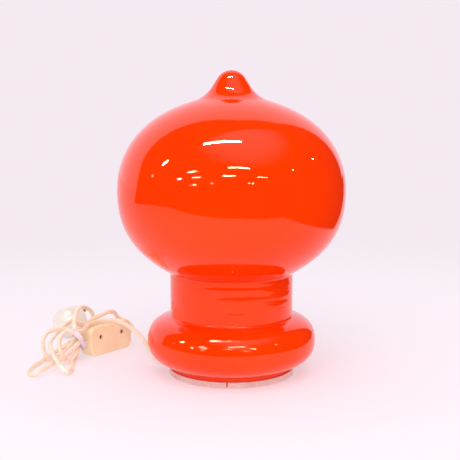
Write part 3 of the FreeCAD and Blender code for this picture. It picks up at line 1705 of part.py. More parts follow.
# The hank's outer shape: upright oval sections, each a centre, a half width and a half height.
HANK_SECTIONS = [
    (-231.5, -22.0, 8.0, 5.0, 5.0),
    (-220.0, -12.0, 17.0, 13.0, 15.0),
    (-205.0, 6.0, 23.0, 18.0, 21.0),
    (-193.5, 30.0, 23.5, 13.0, 18.0),
    (-184.5, 48.5, 24.5, 8.0, 13.0),
    (-200.5, 75.0, 23.0, 7.0, 15.0),
    (-194.0, 97.0, 26.0, 10.0, 21.0),
    (-181.0, 114.0, 27.0, 13.0, 20.0),
    (-173.5, 122.5, 29.0, 7.0, 11.0),
]
TIE_CENTRE = Vector(-182.2, 47.0, 25.0)
TIE_WAY = Vector(0.78, 0.40, 0.48)


def make_cords():
    """The lead from the lamp to the hank, and the ends at the switch and the plug."""
    routes = (
        ("cord_lead", LEAD_ROUTE),
        ("cord_switch_input", SWITCH_INPUT_ROUTE),
        ("cord_switch_output", SWITCH_OUTPUT_ROUTE),
        ("cord_plug_end", PLUG_ROUTE),
    )
    for label, route in routes:
        tube_along(label, [Vector(*point) for point in route], CORD_RADIUS.value)


def hank_placement(index):
    """Where a section of the hank stands: its X is level, its Z runs along the hank."""
    before = Vector(*HANK_SECTIONS[max(index - 1, 0)][:3])
    after = Vector(*HANK_SECTIONS[min(index + 1, len(HANK_SECTIONS) - 1)][:3])
    along = after - before
    return Placement(Vector(*HANK_SECTIONS[index][:3]), Rotation(along.cross(UP), UP, along, "ZXY"))


def oval(half_width, half_height):
    """An oval outline in the XY plane."""
    tall = half_height > half_width
    curve = Part.Ellipse(Vector(), max(half_width, half_height), min(half_width, half_height))
    edge = curve.toShape()
    if tall:
        edge.rotate(Vector(), UP, 90)
    return Part.Wire([edge])


def make_hank():
    """The hank of folded cord, as one solid of its outer shape."""
    outlines = []
    for index, section in enumerate(HANK_SECTIONS):
        outline = oval(section[3], section[4])
        outline.Placement = hank_placement(index).multiply(outline.Placement)
        outlines.append(outline)
    item = document.addObject("Part::Feature", "cord_hank")
    item.Shape = Part.makeLoft(outlines, True, False)
    keep(item, "cord_hank")


def make_tie():
    """The strip tied slantwise round the hank, just in front of the switch."""
    half_width, half_height = S.tie_half_width.value, S.tie_half_height.value
    thick, width = S.tie_thickness.value, S.tie_width.value
    inside = Part.Face(oval(half_width, half_height))
    outside = Part.Face(oval(half_width + thick, half_height + thick))
    ring = outside.cut(inside).extrude(Vector(0, 0, width))
    ring.translate(Vector(0, 0, -width / 2))
    item = document.addObject("Part::Feature", "cord_tie")
    item.Shape = ring
    item.Placement = Placement(TIE_CENTRE, Rotation(TIE_WAY.cross(UP), UP, TIE_WAY, "ZXY"))
    keep(item, "cord_tie")


def check_and_write():
    document.recompute()
    for item in document.Objects:
        if "Invalid" in item.State or "Error" in item.State:
            raise ValueError("%s did not build: %s" % (item.Label, item.State))
    os.makedirs("parts", exist_ok=True)
    for item in node_objects:
        shape = item.Shape
        if shape.isNull() or not shape.isValid() or not shape.Solids:
            raise ValueError(item.Label + " has no valid shape")
        shape.exportStep("parts/%s.step" % item.Label)
    print("%d nodes, %d solids" % (
        len(node_objects), sum(len(item.Shape.Solids) for item in node_objects)))


make_glass()
make_strip()
make_plate()
make_feet()
make_leaves()
make_rivets()
make_tube()
make_holder()
make_contacts()
make_bulb()
make_grip()
make_inner_cord()
make_switch()
make_plug()
make_cords()
make_hank()
make_tie()
check_and_write()
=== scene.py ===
# %% [markdown]
# # Mushroom table lamp
# One piece of blown glass stands on a soft edge strip, round a small fitting that carries the bulb.
# A flat cream flex leaves under the rim and ends in a hank with a rocker switch and a round plug.
# The CAD model comes in as a fixed frame. Everything below is either a finish on one of its parts
# or a finer piece that stands where a plain solid stood. Sizes are in metres.

# %% The frame
import json
import math

import bpy
from mathutils import Matrix, Vector


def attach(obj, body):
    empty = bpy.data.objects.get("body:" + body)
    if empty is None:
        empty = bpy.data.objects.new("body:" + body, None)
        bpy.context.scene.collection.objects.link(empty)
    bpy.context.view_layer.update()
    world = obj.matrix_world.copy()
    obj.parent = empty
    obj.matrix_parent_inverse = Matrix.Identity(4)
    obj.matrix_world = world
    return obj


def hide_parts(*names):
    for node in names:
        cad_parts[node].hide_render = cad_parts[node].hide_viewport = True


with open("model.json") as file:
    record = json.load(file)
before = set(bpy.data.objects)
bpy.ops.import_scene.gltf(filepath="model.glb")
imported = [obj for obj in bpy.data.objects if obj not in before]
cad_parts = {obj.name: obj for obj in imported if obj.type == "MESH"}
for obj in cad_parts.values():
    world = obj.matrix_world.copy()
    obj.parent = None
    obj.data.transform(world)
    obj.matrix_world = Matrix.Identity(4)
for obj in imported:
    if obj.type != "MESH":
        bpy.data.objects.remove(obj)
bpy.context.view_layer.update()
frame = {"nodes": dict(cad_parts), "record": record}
MM = 0.001

# %% [markdown]
# ## The camera
# The ellipses of the rim, the two creases and the dome's lower edge give the camera: about 1.1 m
# in front of the lamp, nearly as high as its top, looking 8 degrees down with a long lens.

# %% Camera
CAMERA_DISTANCE = 1.12
CAMERA_HEIGHT = 0.3229
CAMERA_SIDE = -0.0016
CAMERA_PITCH = 0.1412
PHOTO_WIDTH_PIXELS = 460
FOCAL_PIXELS = 1000.0

camera_data = bpy.data.cameras.new("camera")
camera_data.sensor_width = 36.0
camera_data.lens = camera_data.sensor_width * FOCAL_PIXELS / PHOTO_WIDTH_PIXELS
camera = bpy.data.objects.new("camera", camera_data)
camera.location = (CAMERA_SIDE, -CAMERA_DISTANCE, CAMERA_HEIGHT)
camera.rotation_euler = (math.pi / 2 - CAMERA_PITCH, 0.0, 0.0)
bpy.context.scene.collection.objects.link(camera)
bpy.context.scene.camera = camera
print("lens", round(camera_data.lens, 2), "mm")

# %% [markdown]
# ## Small helpers
# Operators act on whatever is selected, so each step starts by selecting nothing. A finished piece
# keeps its place in its mesh, and its object sits unturned at the origin.

# %% Helpers for selecting and finishing
def select_only(*pieces):
    """Nothing is selected but these, and the first is active."""
    bpy.ops.object.select_all(action="DESELECT")
    for piece in pieces:
        piece.select_set(True)
    bpy.context.view_layer.objects.active = pieces[0]


def into_mesh(piece):
    """The piece's place, turn and scale go into its mesh."""
    select_only(piece)
    bpy.ops.object.transform_apply(location=True, rotation=True, scale=True)
    return piece


def apply_modifiers(piece):
    select_only(piece)
    for modifier in list(piece.modifiers):
        bpy.ops.object.modifier_apply(modifier=modifier.name)
    return piece


def smooth(piece, degrees=35.0):
    select_only(piece)
    bpy.ops.object.shade_smooth_by_angle(angle=math.radians(degrees))
    return piece


def new_mesh_piece(name, vertices, faces):
    mesh = bpy.data.meshes.new(name)
    mesh.from_pydata(vertices, [], faces)
    mesh.update()
    piece = bpy.data.objects.new(name, mesh)
    bpy.context.scene.collection.objects.link(piece)
    return piece


# %% [markdown]
# ## The flex, first its routes
# A flat twin flex is limp and bends only across its thin side. The photograph shows all of it, so its
# length is what lies there. The lead climbs over the switch's upper edge to the tie. Left of the tie
# the hank fans out in loops, behind the tie it folds back out of sight, and its ends run into the
# switch and the plug. Each route is a list of points in mm, the control points of one smooth curve.

# %% Routes of the two flexes
LAMP_TO_TIE = [
    (-72.1, 13.8, 2.9), (-76.5, 17.1, 2.5), (-84.9, 24.4, 4.9), (-91.6, 32.1, 8.3),
    (-97.2, 41.1, 12.4), (-101.3, 51.0, 15.5), (-105.3, 60.9, 18.6), (-110.4, 70.2, 22.3),
    (-117.4, 77.7, 26.8), (-125.7, 83.4, 31.6), (-135.2, 87.3, 36.0), (-146.2, 88.1, 38.8),
    (-157.0, 85.3, 39.1), (-166.8, 79.4, 38.3), (-171.9, 69.3, 38.4), (-174.4, 58.7, 38.3),
    (-179.0, 48.1, 34.6),
]
LEFT_LOOP = [
    (-188.4, 43.1, 34.1), (-199.3, 43.7, 38.9), (-207.7, 35.6, 39.3), (-217.1, 28.9, 38.6),
    (-222.2, 24.8, 28.9), (-221.3, 26.5, 17.5), (-219.2, 30.5, 7.3), (-214.3, 39.1, 1.9),
    (-207.2, 47.9, 3.8), (-199.8, 52.9, 10.8), (-191.4, 52.4, 18.1), (-184.9, 50.4, 27.7),
]
TALL_LOOP = [
    (-188.3, 56.2, 37.9), (-190.5, 65.5, 43.3), (-190.5, 75.1, 49.2), (-189.1, 85.3, 53.7),
    (-185.0, 95.9, 54.2), (-180.3, 105.2, 50.0), (-175.8, 113.5, 43.7), (-175.4, 120.6, 34.9),
    (-173.7, 128.5, 27.6), (-162.5, 132.7, 23.5), (-159.0, 128.4, 12.4), (-165.1, 119.8, 6.9),
    (-175.5, 115.6, 5.6), (-185.1, 109.8, 5.3), (-191.9, 100.8, 5.4), (-195.8, 90.4, 6.6),
    (-196.8, 79.5, 9.4), (-195.3, 69.6, 14.2), (-194.3, 59.1, 18.5),
]
FLOOR_LOOP = [
    (-200.8, 48.3, 16.3), (-210.1, 55.0, 8.7), (-218.0, 50.3, 3.7), (-221.3, 38.5, 3.2),
    (-224.7, 28.4, 2.6), (-227.7, 17.4, 2.5), (-229.9, 6.6, 2.6), (-231.1, -4.7, 2.7),
    (-230.4, -15.4, 2.9), (-229.1, -27.5, 2.7), (-219.2, -32.8, 5.4), (-210.8, -23.9, 8.7),
    (-208.1, -13.4, 8.9), (-205.5, -2.4, 8.8), (-201.0, 7.8, 9.2), (-195.7, 17.4, 10.6),
    (-190.9, 27.3, 13.5), (-185.3, 35.1, 18.7), (-179.0, 42.7, 25.4), (-180.9, 54.4, 23.3),
]
BACK_FOLD = [
    (-185.4, 63.6, 19.6), (-190.0, 73.4, 16.4), (-191.3, 84.4, 14.6), (-189.4, 95.4, 13.5),
    (-184.7, 105.6, 12.7), (-175.7, 112.7, 11.5), (-164.6, 113.6, 9.9), (-154.1, 116.4, 16.6),
    (-156.6, 113.6, 27.8), (-166.7, 107.4, 30.8), (-175.5, 101.5, 28.1), (-183.3, 93.5, 26.5),
    (-187.9, 83.2, 26.7), (-188.4, 71.8, 27.1), (-186.2, 61.2, 27.2), (-182.2, 49.9, 26.4),
]
FRONT_LOOP = [
    (-183.9, 40.9, 31.9), (-193.8, 37.2, 39.3), (-202.4, 31.8, 32.9), (-203.0, 28.6, 21.6),
    (-200.1, 23.2, 13.1), (-191.5, 20.7, 2.4), (-187.1, 30.1, 6.7), (-182.6, 37.7, 12.9),
    (-184.5, 50.4, 18.3), (-177.1, 58.5, 17.7), (-173.8, 63.0, 17.8),
]
SWITCH_TO_TIE = [
    (-136.2, 111.0, 17.8), (-133.0, 115.6, 17.9), (-125.3, 124.5, 17.8), (-127.4, 135.8, 20.4),
    (-135.8, 143.1, 24.8), (-147.1, 141.5, 29.2), (-148.5, 132.8, 37.9), (-154.7, 125.1, 41.9),
    (-165.1, 119.9, 37.7), (-173.0, 112.6, 35.4), (-179.4, 103.8, 32.2), (-184.4, 93.5, 30.9),
    (-188.7, 83.7, 34.3), (-191.6, 73.3, 38.6), (-191.3, 62.3, 34.7), (-189.2, 54.9, 25.5),
]
INNER_LOOP = [
    (-185.6, 57.3, 14.4), (-187.1, 54.6, 3.4), (-187.4, 41.7, 2.9), (-186.8, 31.1, 3.0),
    (-186.5, 19.5, 2.9), (-185.5, 8.5, 2.8), (-184.1, -3.1, 3.0), (-182.8, -13.5, 3.4),
    (-185.0, -26.8, 4.7), (-194.3, -21.3, 11.1), (-198.6, -11.1, 14.0), (-203.9, -1.5, 16.6),
    (-208.1, 8.8, 18.5), (-211.7, 19.4, 20.2), (-214.1, 30.3, 21.8), (-214.9, 41.4, 23.8),
    (-213.9, 52.5, 25.8),
]
LOOP_TO_PLUG = [
    (-212.0, 63.5, 27.8), (-209.9, 74.4, 29.4), (-207.4, 85.5, 30.8), (-204.2, 95.8, 32.3),
    (-198.6, 106.4, 35.2), (-188.1, 107.9, 29.8), (-179.1, 107.5, 23.2), (-169.3, 111.2, 18.3),
    (-162.7, 121.0, 15.1), (-170.7, 130.5, 14.7), (-181.3, 134.4, 15.3), (-185.8, 137.7, 16.1),
]


def in_metres(*stretches):
    """The stretches one after another, as one route in metres."""
    return [Vector(point) * MM for stretch in stretches for point in stretch]


lamp_flex_route = in_metres(
    LAMP_TO_TIE, LEFT_LOOP, TALL_LOOP, FLOOR_LOOP, BACK_FOLD, FRONT_LOOP)
plug_flex_route = in_metres(SWITCH_TO_TIE, INNER_LOOP, LOOP_TO_PLUG)
print(len(lamp_flex_route), "and", len(plug_flex_route), "points")

# %% [markdown]
# ## The flex as a flat tube
# The curve is a NURBS spline, read back as points along its line. At each point the flat section has
# to be turned. A flat flex can't bend edgewise, so its broad side is turned step by step towards
# the axis that the curve bends about. It also leans a little flat to the front, as the loops in the
# photograph do. The turning is then evened out along the length.

# %% A flat flex along a route
FLEX_WIDTH = 5.4 * MM
FLEX_THICKNESS = 3.8 * MM
SECTION_CORNERS = 16
ROUTE_RESOLUTION = 10
TURNING = 0.9
LEANING = 0.06
EVENING_ROUNDS = 60


def line_of(route, name):
    """Points along the smooth NURBS curve that the route controls."""
    curve = bpy.data.curves.new(name + "_line", "CURVE")
    curve.dimensions = "3D"
    spline = curve.splines.new("NURBS")
    spline.points.add(len(route) - 1)
    for point, place in zip(spline.points, route):
        point.co = (*place, 1.0)
    spline.order_u = 3
    spline.use_endpoint_u = True
    spline.resolution_u = ROUTE_RESOLUTION
    carrier = bpy.data.objects.new(name + "_line", curve)
    mesh = bpy.data.meshes.new_from_object(carrier)
    line = [vertex.co.copy() for vertex in mesh.vertices]
    bpy.data.objects.remove(carrier)
    bpy.data.curves.remove(curve)
    bpy.data.meshes.remove(mesh)
    return line


def broad_sides(line, first_side):
    """At each point of the line, the direction of the flex's broad side."""
    along = []
    for index in range(len(line)):
        before = line[max(index - 1, 0)]
        after = line[min(index + 1, len(line) - 1)]
        along.append((after - before).normalized())
    side = first_side.copy()
    sides = []
    for index, way in enumerate(along):
        bend = way.cross(along[min(index + 1, len(along) - 1)])
        if bend.dot(side) < 0:
            bend.negate()
        flat_to_front = way.cross(Vector((0, 1, 0)))
        if flat_to_front.dot(side) < 0:
            flat_to_front.negate()
        side = side + bend * TURNING + flat_to_front * LEANING
        side = (side - way * side.dot(way)).normalized()
        sides.append(side)
    for _ in range(EVENING_ROUNDS):
        evened = [sides[0]]
        for index in range(1, len(sides) - 1):
            mean = sides[index - 1] + sides[index] * 2 + sides[index + 1]
            evened.append((mean - along[index] * mean.dot(along[index])).normalized())
        evened.append(evened[-1])
        sides = evened
    return along, sides


def section_of_flex():
    """The flex's oval section: two half circles joined by flat stretches."""
    corners = []
    rounding = FLEX_THICKNESS / 2
    half_flat = FLEX_WIDTH / 2 - rounding
    for index in range(SECTION_CORNERS):
        angle = 2 * math.pi * (index + 0.5) / SECTION_CORNERS
        across = math.copysign(half_flat, math.cos(angle))
        corners.append((across + rounding * math.cos(angle), rounding * math.sin(angle)))
    return corners


def flat_flex(name, route, first_side):
    """The flex as a closed mesh tube along its route, and the line it follows."""
    line = line_of(route, name)
    along, sides = broad_sides(line, first_side)
    section = section_of_flex()
    count = len(section)
    vertices = []
    for place, way, side in zip(line, along, sides):
        up = way.cross(side)
        vertices.extend(place + side * across + up * rise for across, rise in section)
    faces = []
    for ring in range(len(line) - 1):
        for corner in range(count):
            follow = (corner + 1) % count
            start, end = ring * count, (ring + 1) * count
            faces.append((start + corner, start + follow, end + follow, end + corner))
    faces.append(tuple(reversed(range(count))))
    faces.append(tuple((len(line) - 1) * count + corner for corner in range(count)))
    piece = new_mesh_piece(name, vertices, faces)
    smooth(piece, 60.0)
    return piece, line


def length_of(line):
    return sum((b - a).length for a, b in zip(line, line[1:]))


lamp_flex, lamp_flex_line = flat_flex("lamp_flex", lamp_flex_route, Vector((0, 0, 1)))
plug_flex, plug_flex_line = flat_flex("plug_flex", plug_flex_route, Vector((0, 0, 1)))
print("lamp flex", round(length_of(lamp_flex_line), 3), "plug flex", round(length_of(plug_flex_line), 3))

# %% [markdown]
# ## Attaching the flexes
# The first ends in the switch. The second leaves the switch and ends in the plug. Both ride on the
# fitting, and the CAD tubes and the hank's solid that they stand for are hidden.

for flex in (lamp_flex, plug_flex):
    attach(flex, "fitting")
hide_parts("cord_lead", "cord_hank", "cord_switch_input")
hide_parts("cord_switch_output", "cord_plug_end")

# %% [markdown]
# ## The strip round the hank
# A thin strip is wound once round the strands at the switch's end, and stands on a slant. This one
# has rounded edges and replaces the plain ring of the CAD model in the same place.

# %% Tie strip
TIE_CENTRE = Vector((-182.2, 47.0, 25.0)) * MM
TIE_WAY = Vector((0.78, 0.40, 0.48)).normalized()
TIE_HALF_WIDTH = 11.4 * MM
TIE_HALF_HEIGHT = 13.9 * MM
TIE_BREADTH = 6.0 * MM
TIE_THICKNESS = 0.7 * MM
TIE_CORNERS = 72
TIE_BANDS = 4


def make_tie_strip():
    bpy.ops.object.select_all(action="DESELECT")
    bpy.ops.mesh.primitive_circle_add(vertices=TIE_CORNERS, radius=1.0)
    piece = bpy.context.object
    piece.name = "tie_strip"
    piece.scale = (TIE_HALF_WIDTH, TIE_HALF_HEIGHT, 1.0)
    into_mesh(piece)
    bpy.ops.object.mode_set(mode="EDIT")
    bpy.ops.mesh.select_all(action="SELECT")
    bpy.ops.transform.translate(value=(0, 0, -TIE_BREADTH / 2))
    for _ in range(TIE_BANDS):
        bpy.ops.mesh.extrude_region_move(
            TRANSFORM_OT_translate={"value": (0, 0, TIE_BREADTH / TIE_BANDS)})
    bpy.ops.mesh.select_all(action="SELECT")
    bpy.ops.mesh.normals_make_consistent(inside=False)
    bpy.ops.object.mode_set(mode="OBJECT")
    thickness = piece.modifiers.new("thickness", "SOLIDIFY")
    thickness.thickness = TIE_THICKNESS
    thickness.offset = 0.0
    rounding = piece.modifiers.new("rounding", "BEVEL")
    rounding.width = 0.25 * TIE_THICKNESS
    rounding.segments = 2
    apply_modifiers(piece)
    across = TIE_WAY.cross(Vector((0, 0, 1))).normalized()
    upward = TIE_WAY.cross(across).normalized()
    if upward.z < 0:
        upward.negate()
    turn = Matrix((across, upward, across.cross(upward))).transposed().to_4x4()
    piece.matrix_world = Matrix.Translation(TIE_CENTRE) @ turn
    into_mesh(piece)
    return smooth(piece)


tie_strip = make_tie_strip()
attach(tie_strip, "fitting")
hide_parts("cord_tie")
print("tie strip:", len(tie_strip.data.polygons), "faces")

# %% [markdown]
# ## The blown glass
# The body is turned, so half of its outline is drawn as a Bezier curve and spun round the axis. The
# outline is two arcs for the dome, each a little fuller than an ellipse, soft curves for the foot, a
# straight neck, and a cap and a blend for the nub. Outside and inside are spun apart, because one is
# orange and one is opal.

# %% The glass outline's sizes
DOME_RADIUS = 128.2 * MM
DOME_WAIST = 208.3 * MM
DOME_RISE = 107.0 * MM
DOME_DROP = 109.4 * MM
UPPER_FULLNESS = 1.08
LOWER_FULLNESS = 1.13
INSIDE_FULLNESS = 1.05
GLASS_HEIGHT = 342.5 * MM
NUB_CAP_RADIUS = 18.4 * MM
NUB_FLANK = math.radians(32.7)
NUB_BLEND_RADIUS = 34.0 * MM
NECK_RADIUS = 69.6 * MM
SHOULDER_HEIGHT = 66.7 * MM
SHOULDER_SLOPE = math.radians(14.0)
FOOT_RADIUS = 96.0 * MM
FOOT_WAIST = 38.0 * MM
COLLAR_RADIUS = 69.2 * MM
COLLAR_TOP = 10.4 * MM
COLLAR_SLOPE = math.radians(16.8)
GLASS_RIM = 1.4 * MM
GLASS_WALL = 4.0 * MM
CREASE_RADIUS = 3.0 * MM
FOOT_PULL_UP = 19.0 * MM
SHOULDER_PULL = 13.6 * MM
FOOT_PULL_DOWN = 17.0 * MM
COLLAR_PULL = 14.0 * MM
BLEND_START_RANGE = (math.radians(30.0), math.radians(80.0))
HALVINGS = 50


def ellipse_point(radius, height, waist, angle):
    return Vector((radius * math.cos(angle), 0, waist + height * math.sin(angle)))


def ellipse_way(radius, height, angle):
    """The ellipse's direction as the angle grows, as long as one radian."""
    return Vector((-radius * math.sin(angle), 0, height * math.cos(angle)))


def arc_knots(radius, height, waist, start, end, fullness=1.0):
    """Two knots of a Bezier curve along an ellipse; a fullness over 1 swells it between them."""
    pull = 4 / 3 * math.tan((end - start) / 4) * fullness
    first = ellipse_point(radius, height, waist, start)
    last = ellipse_point(radius, height, waist, end)
    return (first, first + ellipse_way(radius, height, start) * pull,
            last - ellipse_way(radius, height, end) * pull, last)


def crease_knots(corner, way_in, way_out, radius):
    """A small arc in a corner, between the way into it and the way out of it."""
    turn = way_in.angle(way_out)
    reach = radius * math.tan(turn / 2)
    pull = 4 / 3 * math.tan(turn / 4) * radius
    start = corner - way_in * reach
    end = corner + way_out * reach
    return start, start + way_in * pull, end - way_out * pull, end


def nub_blend():
    """The hollow curve between dome and nub: its knots, and the dome's angle where it starts."""
    cap_centre = Vector((0, 0, GLASS_HEIGHT - NUB_CAP_RADIUS))
    flank_top = cap_centre + NUB_CAP_RADIUS * Vector((math.cos(NUB_FLANK), 0, math.sin(NUB_FLANK)))
    flank_way = Vector((-math.sin(NUB_FLANK), 0, math.cos(NUB_FLANK)))
    low, high = BLEND_START_RANGE
    for _ in range(HALVINGS):
        angle = (low + high) / 2
        start = ellipse_point(DOME_RADIUS, DOME_RISE, DOME_WAIST, angle)
        way = ellipse_way(DOME_RADIUS, DOME_RISE, angle).normalized()
        across = flank_way.x * way.z - flank_way.z * way.x
        gap = flank_top - start
        ahead = (gap.z * flank_way.x - gap.x * flank_way.z) / across
        if ahead > NUB_BLEND_RADIUS * math.tan(way.angle(flank_way) / 2):
            low = angle
        else:
            high = angle
    corner = start + way * ahead
    return crease_knots(corner, way, flank_way, NUB_BLEND_RADIUS), angle, flank_top


blend, blend_angle, flank_top = nub_blend()
print("nub blend starts", round(blend[0].x / MM, 1), "mm from the axis, at", round(blend[0].z / MM, 1))

# %% [markdown]
# The outline is kept as a chain of Bezier knots, each with the handles on both its sides. A knot
# shared by two stretches takes its left handle from the one and its right handle from the other.

# %% Chain of Bezier stretches, spun into a shell
OUTLINE_RESOLUTION = 14
SPIN_STEPS = 192
POINT_WELD = 1e-6
EDGE_WELD = 1e-5


def straight(start, end):
    """A straight stretch, as a Bezier curve's two knots with their handles."""
    return start, start + (end - start) / 3, end - (end - start) / 3, end


def outline_curve(name, stretches):
    """One Bezier curve through a chain of stretches."""
    curve = bpy.data.curves.new(name, "CURVE")
    curve.dimensions = "3D"
    curve.resolution_u = OUTLINE_RESOLUTION
    spline = curve.splines.new("BEZIER")
    spline.bezier_points.add(len(stretches))
    for knot in spline.bezier_points:
        knot.handle_left_type = "FREE"
        knot.handle_right_type = "FREE"
    for index, (start, leave, arrive, end) in enumerate(stretches):
        first, second = spline.bezier_points[index], spline.bezier_points[index + 1]
        first.co = start
        first.handle_right = leave
        second.handle_left = arrive
        second.co = end
    spline.bezier_points[0].handle_left = stretches[0][0]
    spline.bezier_points[-1].handle_right = stretches[-1][3]
    outline = bpy.data.objects.new(name, curve)
    bpy.context.scene.collection.objects.link(outline)
    return outline


def spun(name, stretches):
    """A shell of revolution about the vertical axis through the origin."""
    piece = outline_curve(name, stretches)
    select_only(piece)
    bpy.ops.object.convert(target="MESH")
    bpy.ops.object.mode_set(mode="EDIT")
    bpy.ops.mesh.select_all(action="SELECT")
    bpy.ops.mesh.spin(steps=SPIN_STEPS, angle=2 * math.pi, center=(0, 0, 0), axis=(0, 0, 1))
    bpy.ops.mesh.select_all(action="SELECT")
    bpy.ops.mesh.remove_doubles(threshold=POINT_WELD)
    bpy.ops.mesh.normals_make_consistent(inside=False)
    bpy.ops.object.mode_set(mode="OBJECT")
    return piece


# %% Glass outlines
def glass_stretches(inset):
    """The outline from the rim up to the dome's waist, at an inset from the outside."""
    collar, neck = COLLAR_RADIUS - inset, NECK_RADIUS - inset
    rim = Vector((collar, 0, GLASS_RIM))
    collar_top = Vector((collar, 0, COLLAR_TOP + inset))
    foot = Vector((FOOT_RADIUS - inset, 0, FOOT_WAIST))
    shoulder = Vector((neck, 0, SHOULDER_HEIGHT - inset))
    radius, drop = DOME_RADIUS - inset, DOME_DROP - inset
    low_angle = -math.acos(neck / radius)
    neck_top = ellipse_point(radius, drop, DOME_WAIST, low_angle)
    up = Vector((0, 0, 1))
    lower_way = Vector((math.cos(COLLAR_SLOPE), 0, math.sin(COLLAR_SLOPE)))
    shoulder_way = Vector((-math.cos(SHOULDER_SLOPE), 0, math.sin(SHOULDER_SLOPE)))
    dome_way = ellipse_way(radius, drop, low_angle).normalized()
    lower_crease = crease_knots(shoulder, shoulder_way, up, CREASE_RADIUS)
    upper_crease = crease_knots(neck_top, up, dome_way, CREASE_RADIUS)
    crease_reach = (upper_crease[3] - neck_top).length
    dome_angle = low_angle + crease_reach / ellipse_way(radius, drop, low_angle).length
    dome = arc_knots(radius, drop, DOME_WAIST, dome_angle, 0.0, LOWER_FULLNESS)
    upper_crease = (*upper_crease[:3], dome[0])
    return [
        straight(rim, collar_top),
        (collar_top, collar_top + lower_way * COLLAR_PULL, foot - up * FOOT_PULL_DOWN, foot),
        (foot, foot + up * FOOT_PULL_UP, lower_crease[0] - shoulder_way * SHOULDER_PULL, lower_crease[0]),
        lower_crease,
        straight(lower_crease[3], upper_crease[0]),
        upper_crease,
        dome,
    ]


def make_glass_shell():
    """Outside, inside and cut rim, spun apart and joined, each with its own material slot."""
    outer = glass_stretches(0.0)
    outer.append(arc_knots(DOME_RADIUS, DOME_RISE, DOME_WAIST, 0.0, blend_angle, UPPER_FULLNESS))
    outer.append(blend)
    outer.append(straight(blend[3], flank_top))
    outer.append(arc_knots(NUB_CAP_RADIUS, NUB_CAP_RADIUS, GLASS_HEIGHT - NUB_CAP_RADIUS,
                           NUB_FLANK, math.pi / 2))
    inner = glass_stretches(GLASS_WALL)
    inner.append(arc_knots(DOME_RADIUS - GLASS_WALL, DOME_RISE - GLASS_WALL, DOME_WAIST,
                           0.0, math.pi / 2, INSIDE_FULLNESS))
    outside = spun("glass_shell", outer)
    inside = spun("glass_inside", inner)
    select_only(inside)
    bpy.ops.object.mode_set(mode="EDIT")
    bpy.ops.mesh.select_all(action="SELECT")
    bpy.ops.mesh.flip_normals()
    bpy.ops.object.mode_set(mode="OBJECT")
    rim_stretch = [straight(Vector((COLLAR_RADIUS - GLASS_WALL, 0, GLASS_RIM)),
                            Vector((COLLAR_RADIUS, 0, GLASS_RIM)))]
    rim = spun("glass_cut_rim", rim_stretch)
    for index, piece in enumerate((outside, inside, rim)):
        for slot_index in range(3):
            piece.data.materials.append(None)
        for face in piece.data.polygons:
            face.material_index = index
    select_only(outside, inside, rim)
    bpy.ops.object.join()
    bpy.ops.object.mode_set(mode="EDIT")
    bpy.ops.mesh.select_all(action="SELECT")
    bpy.ops.mesh.remove_doubles(threshold=EDGE_WELD)
    bpy.ops.object.mode_set(mode="OBJECT")
    return bpy.context.object


glass_shell = make_glass_shell()
glass_low = min(vertex.co.z for vertex in glass_shell.data.vertices)
glass_high = max(vertex.co.z for vertex in glass_shell.data.vertices)
print("glass from", round(glass_low / MM, 2), "to", round(glass_high / MM, 2), "mm,",
      len(glass_shell.data.polygons), "faces")

# %% [markdown]
# ## The notch in the rim
# The flex leaves through a small arch ground into the rim at the left. A rounded cutter is set on
# the flex's slanted line and taken away from the glass with a Boolean modifier.

# %% Cut the notch
NOTCH_WIDTH = 9.0 * MM
NOTCH_HEIGHT = 9.0 * MM
EXIT_ANGLE = math.radians(169.2)
EXIT_SLANT = math.radians(28.0)
CUTTER_DEPTH = 14.0 * MM
CUTTER_DROP = 6.0 * MM
CUTTER_CORNERS = 48
SAME_LEVEL = 0.1 * MM


def make_notch_cutter():
    """An arch whose round top is the notch's and whose foot reaches well below the rim."""
    arch_centre = NOTCH_HEIGHT - NOTCH_WIDTH / 2
    bpy.ops.object.select_all(action="DESELECT")
    bpy.ops.mesh.primitive_cylinder_add(vertices=CUTTER_CORNERS, radius=NOTCH_WIDTH / 2,
                                        depth=CUTTER_DEPTH, rotation=(0, math.pi / 2, 0),
                                        location=(0, 0, arch_centre))
    cutter = bpy.context.object
    into_mesh(cutter)
    bpy.ops.object.mode_set(mode="EDIT")
    bpy.ops.mesh.select_all(action="DESELECT")
    bpy.ops.object.mode_set(mode="OBJECT")
    for vertex in cutter.data.vertices:
        vertex.select = vertex.co.z < arch_centre - SAME_LEVEL
    bpy.ops.object.mode_set(mode="EDIT")
    bpy.ops.transform.translate(value=(0, 0, -CUTTER_DROP))
    bpy.ops.object.mode_set(mode="OBJECT")
    reach = COLLAR_RADIUS - GLASS_WALL / 2
    place = Vector((reach * math.cos(EXIT_ANGLE), reach * math.sin(EXIT_ANGLE), 0))
    cutter.matrix_world = Matrix.Translation(place) @ Matrix.Rotation(EXIT_ANGLE - EXIT_SLANT, 4, "Z")
    return into_mesh(cutter)


notch_cutter = make_notch_cutter()
cut = glass_shell.modifiers.new("notch", "BOOLEAN")
cut.operation = "DIFFERENCE"
cut.solver = "EXACT"
cut.object = notch_cutter
apply_modifiers(glass_shell)
bpy.data.objects.remove(notch_cutter)
smooth(glass_shell, 40.0)
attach(glass_shell, "glass")
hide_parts("glass_body")
print("glass with its notch:", len(glass_shell.data.polygons), "faces")

# %% [markdown]
# ## Finishes
# Every finish is one Principled shader. Its colour, gloss and relief are broken up by patterns that
# read the piece's own Object coordinates, so they stay on the piece when it moves.

# %% Helpers for finishes
PLAIN_STRETCH = (1, 1, 1)
TINT_SPAN = (0.35, 0.65)
GLOSS_SPAN = (0.3, 0.7)


def new_finish(name, **sockets):
    """A material with one Principled shader, and the shader's plain values."""
    material = bpy.data.materials.new(name)
    material.use_nodes = True
    shader = material.node_tree.nodes["Principled BSDF"]
    for socket, value in sockets.items():
        shader.inputs[socket.replace("_", " ")].default_value = value
    return material


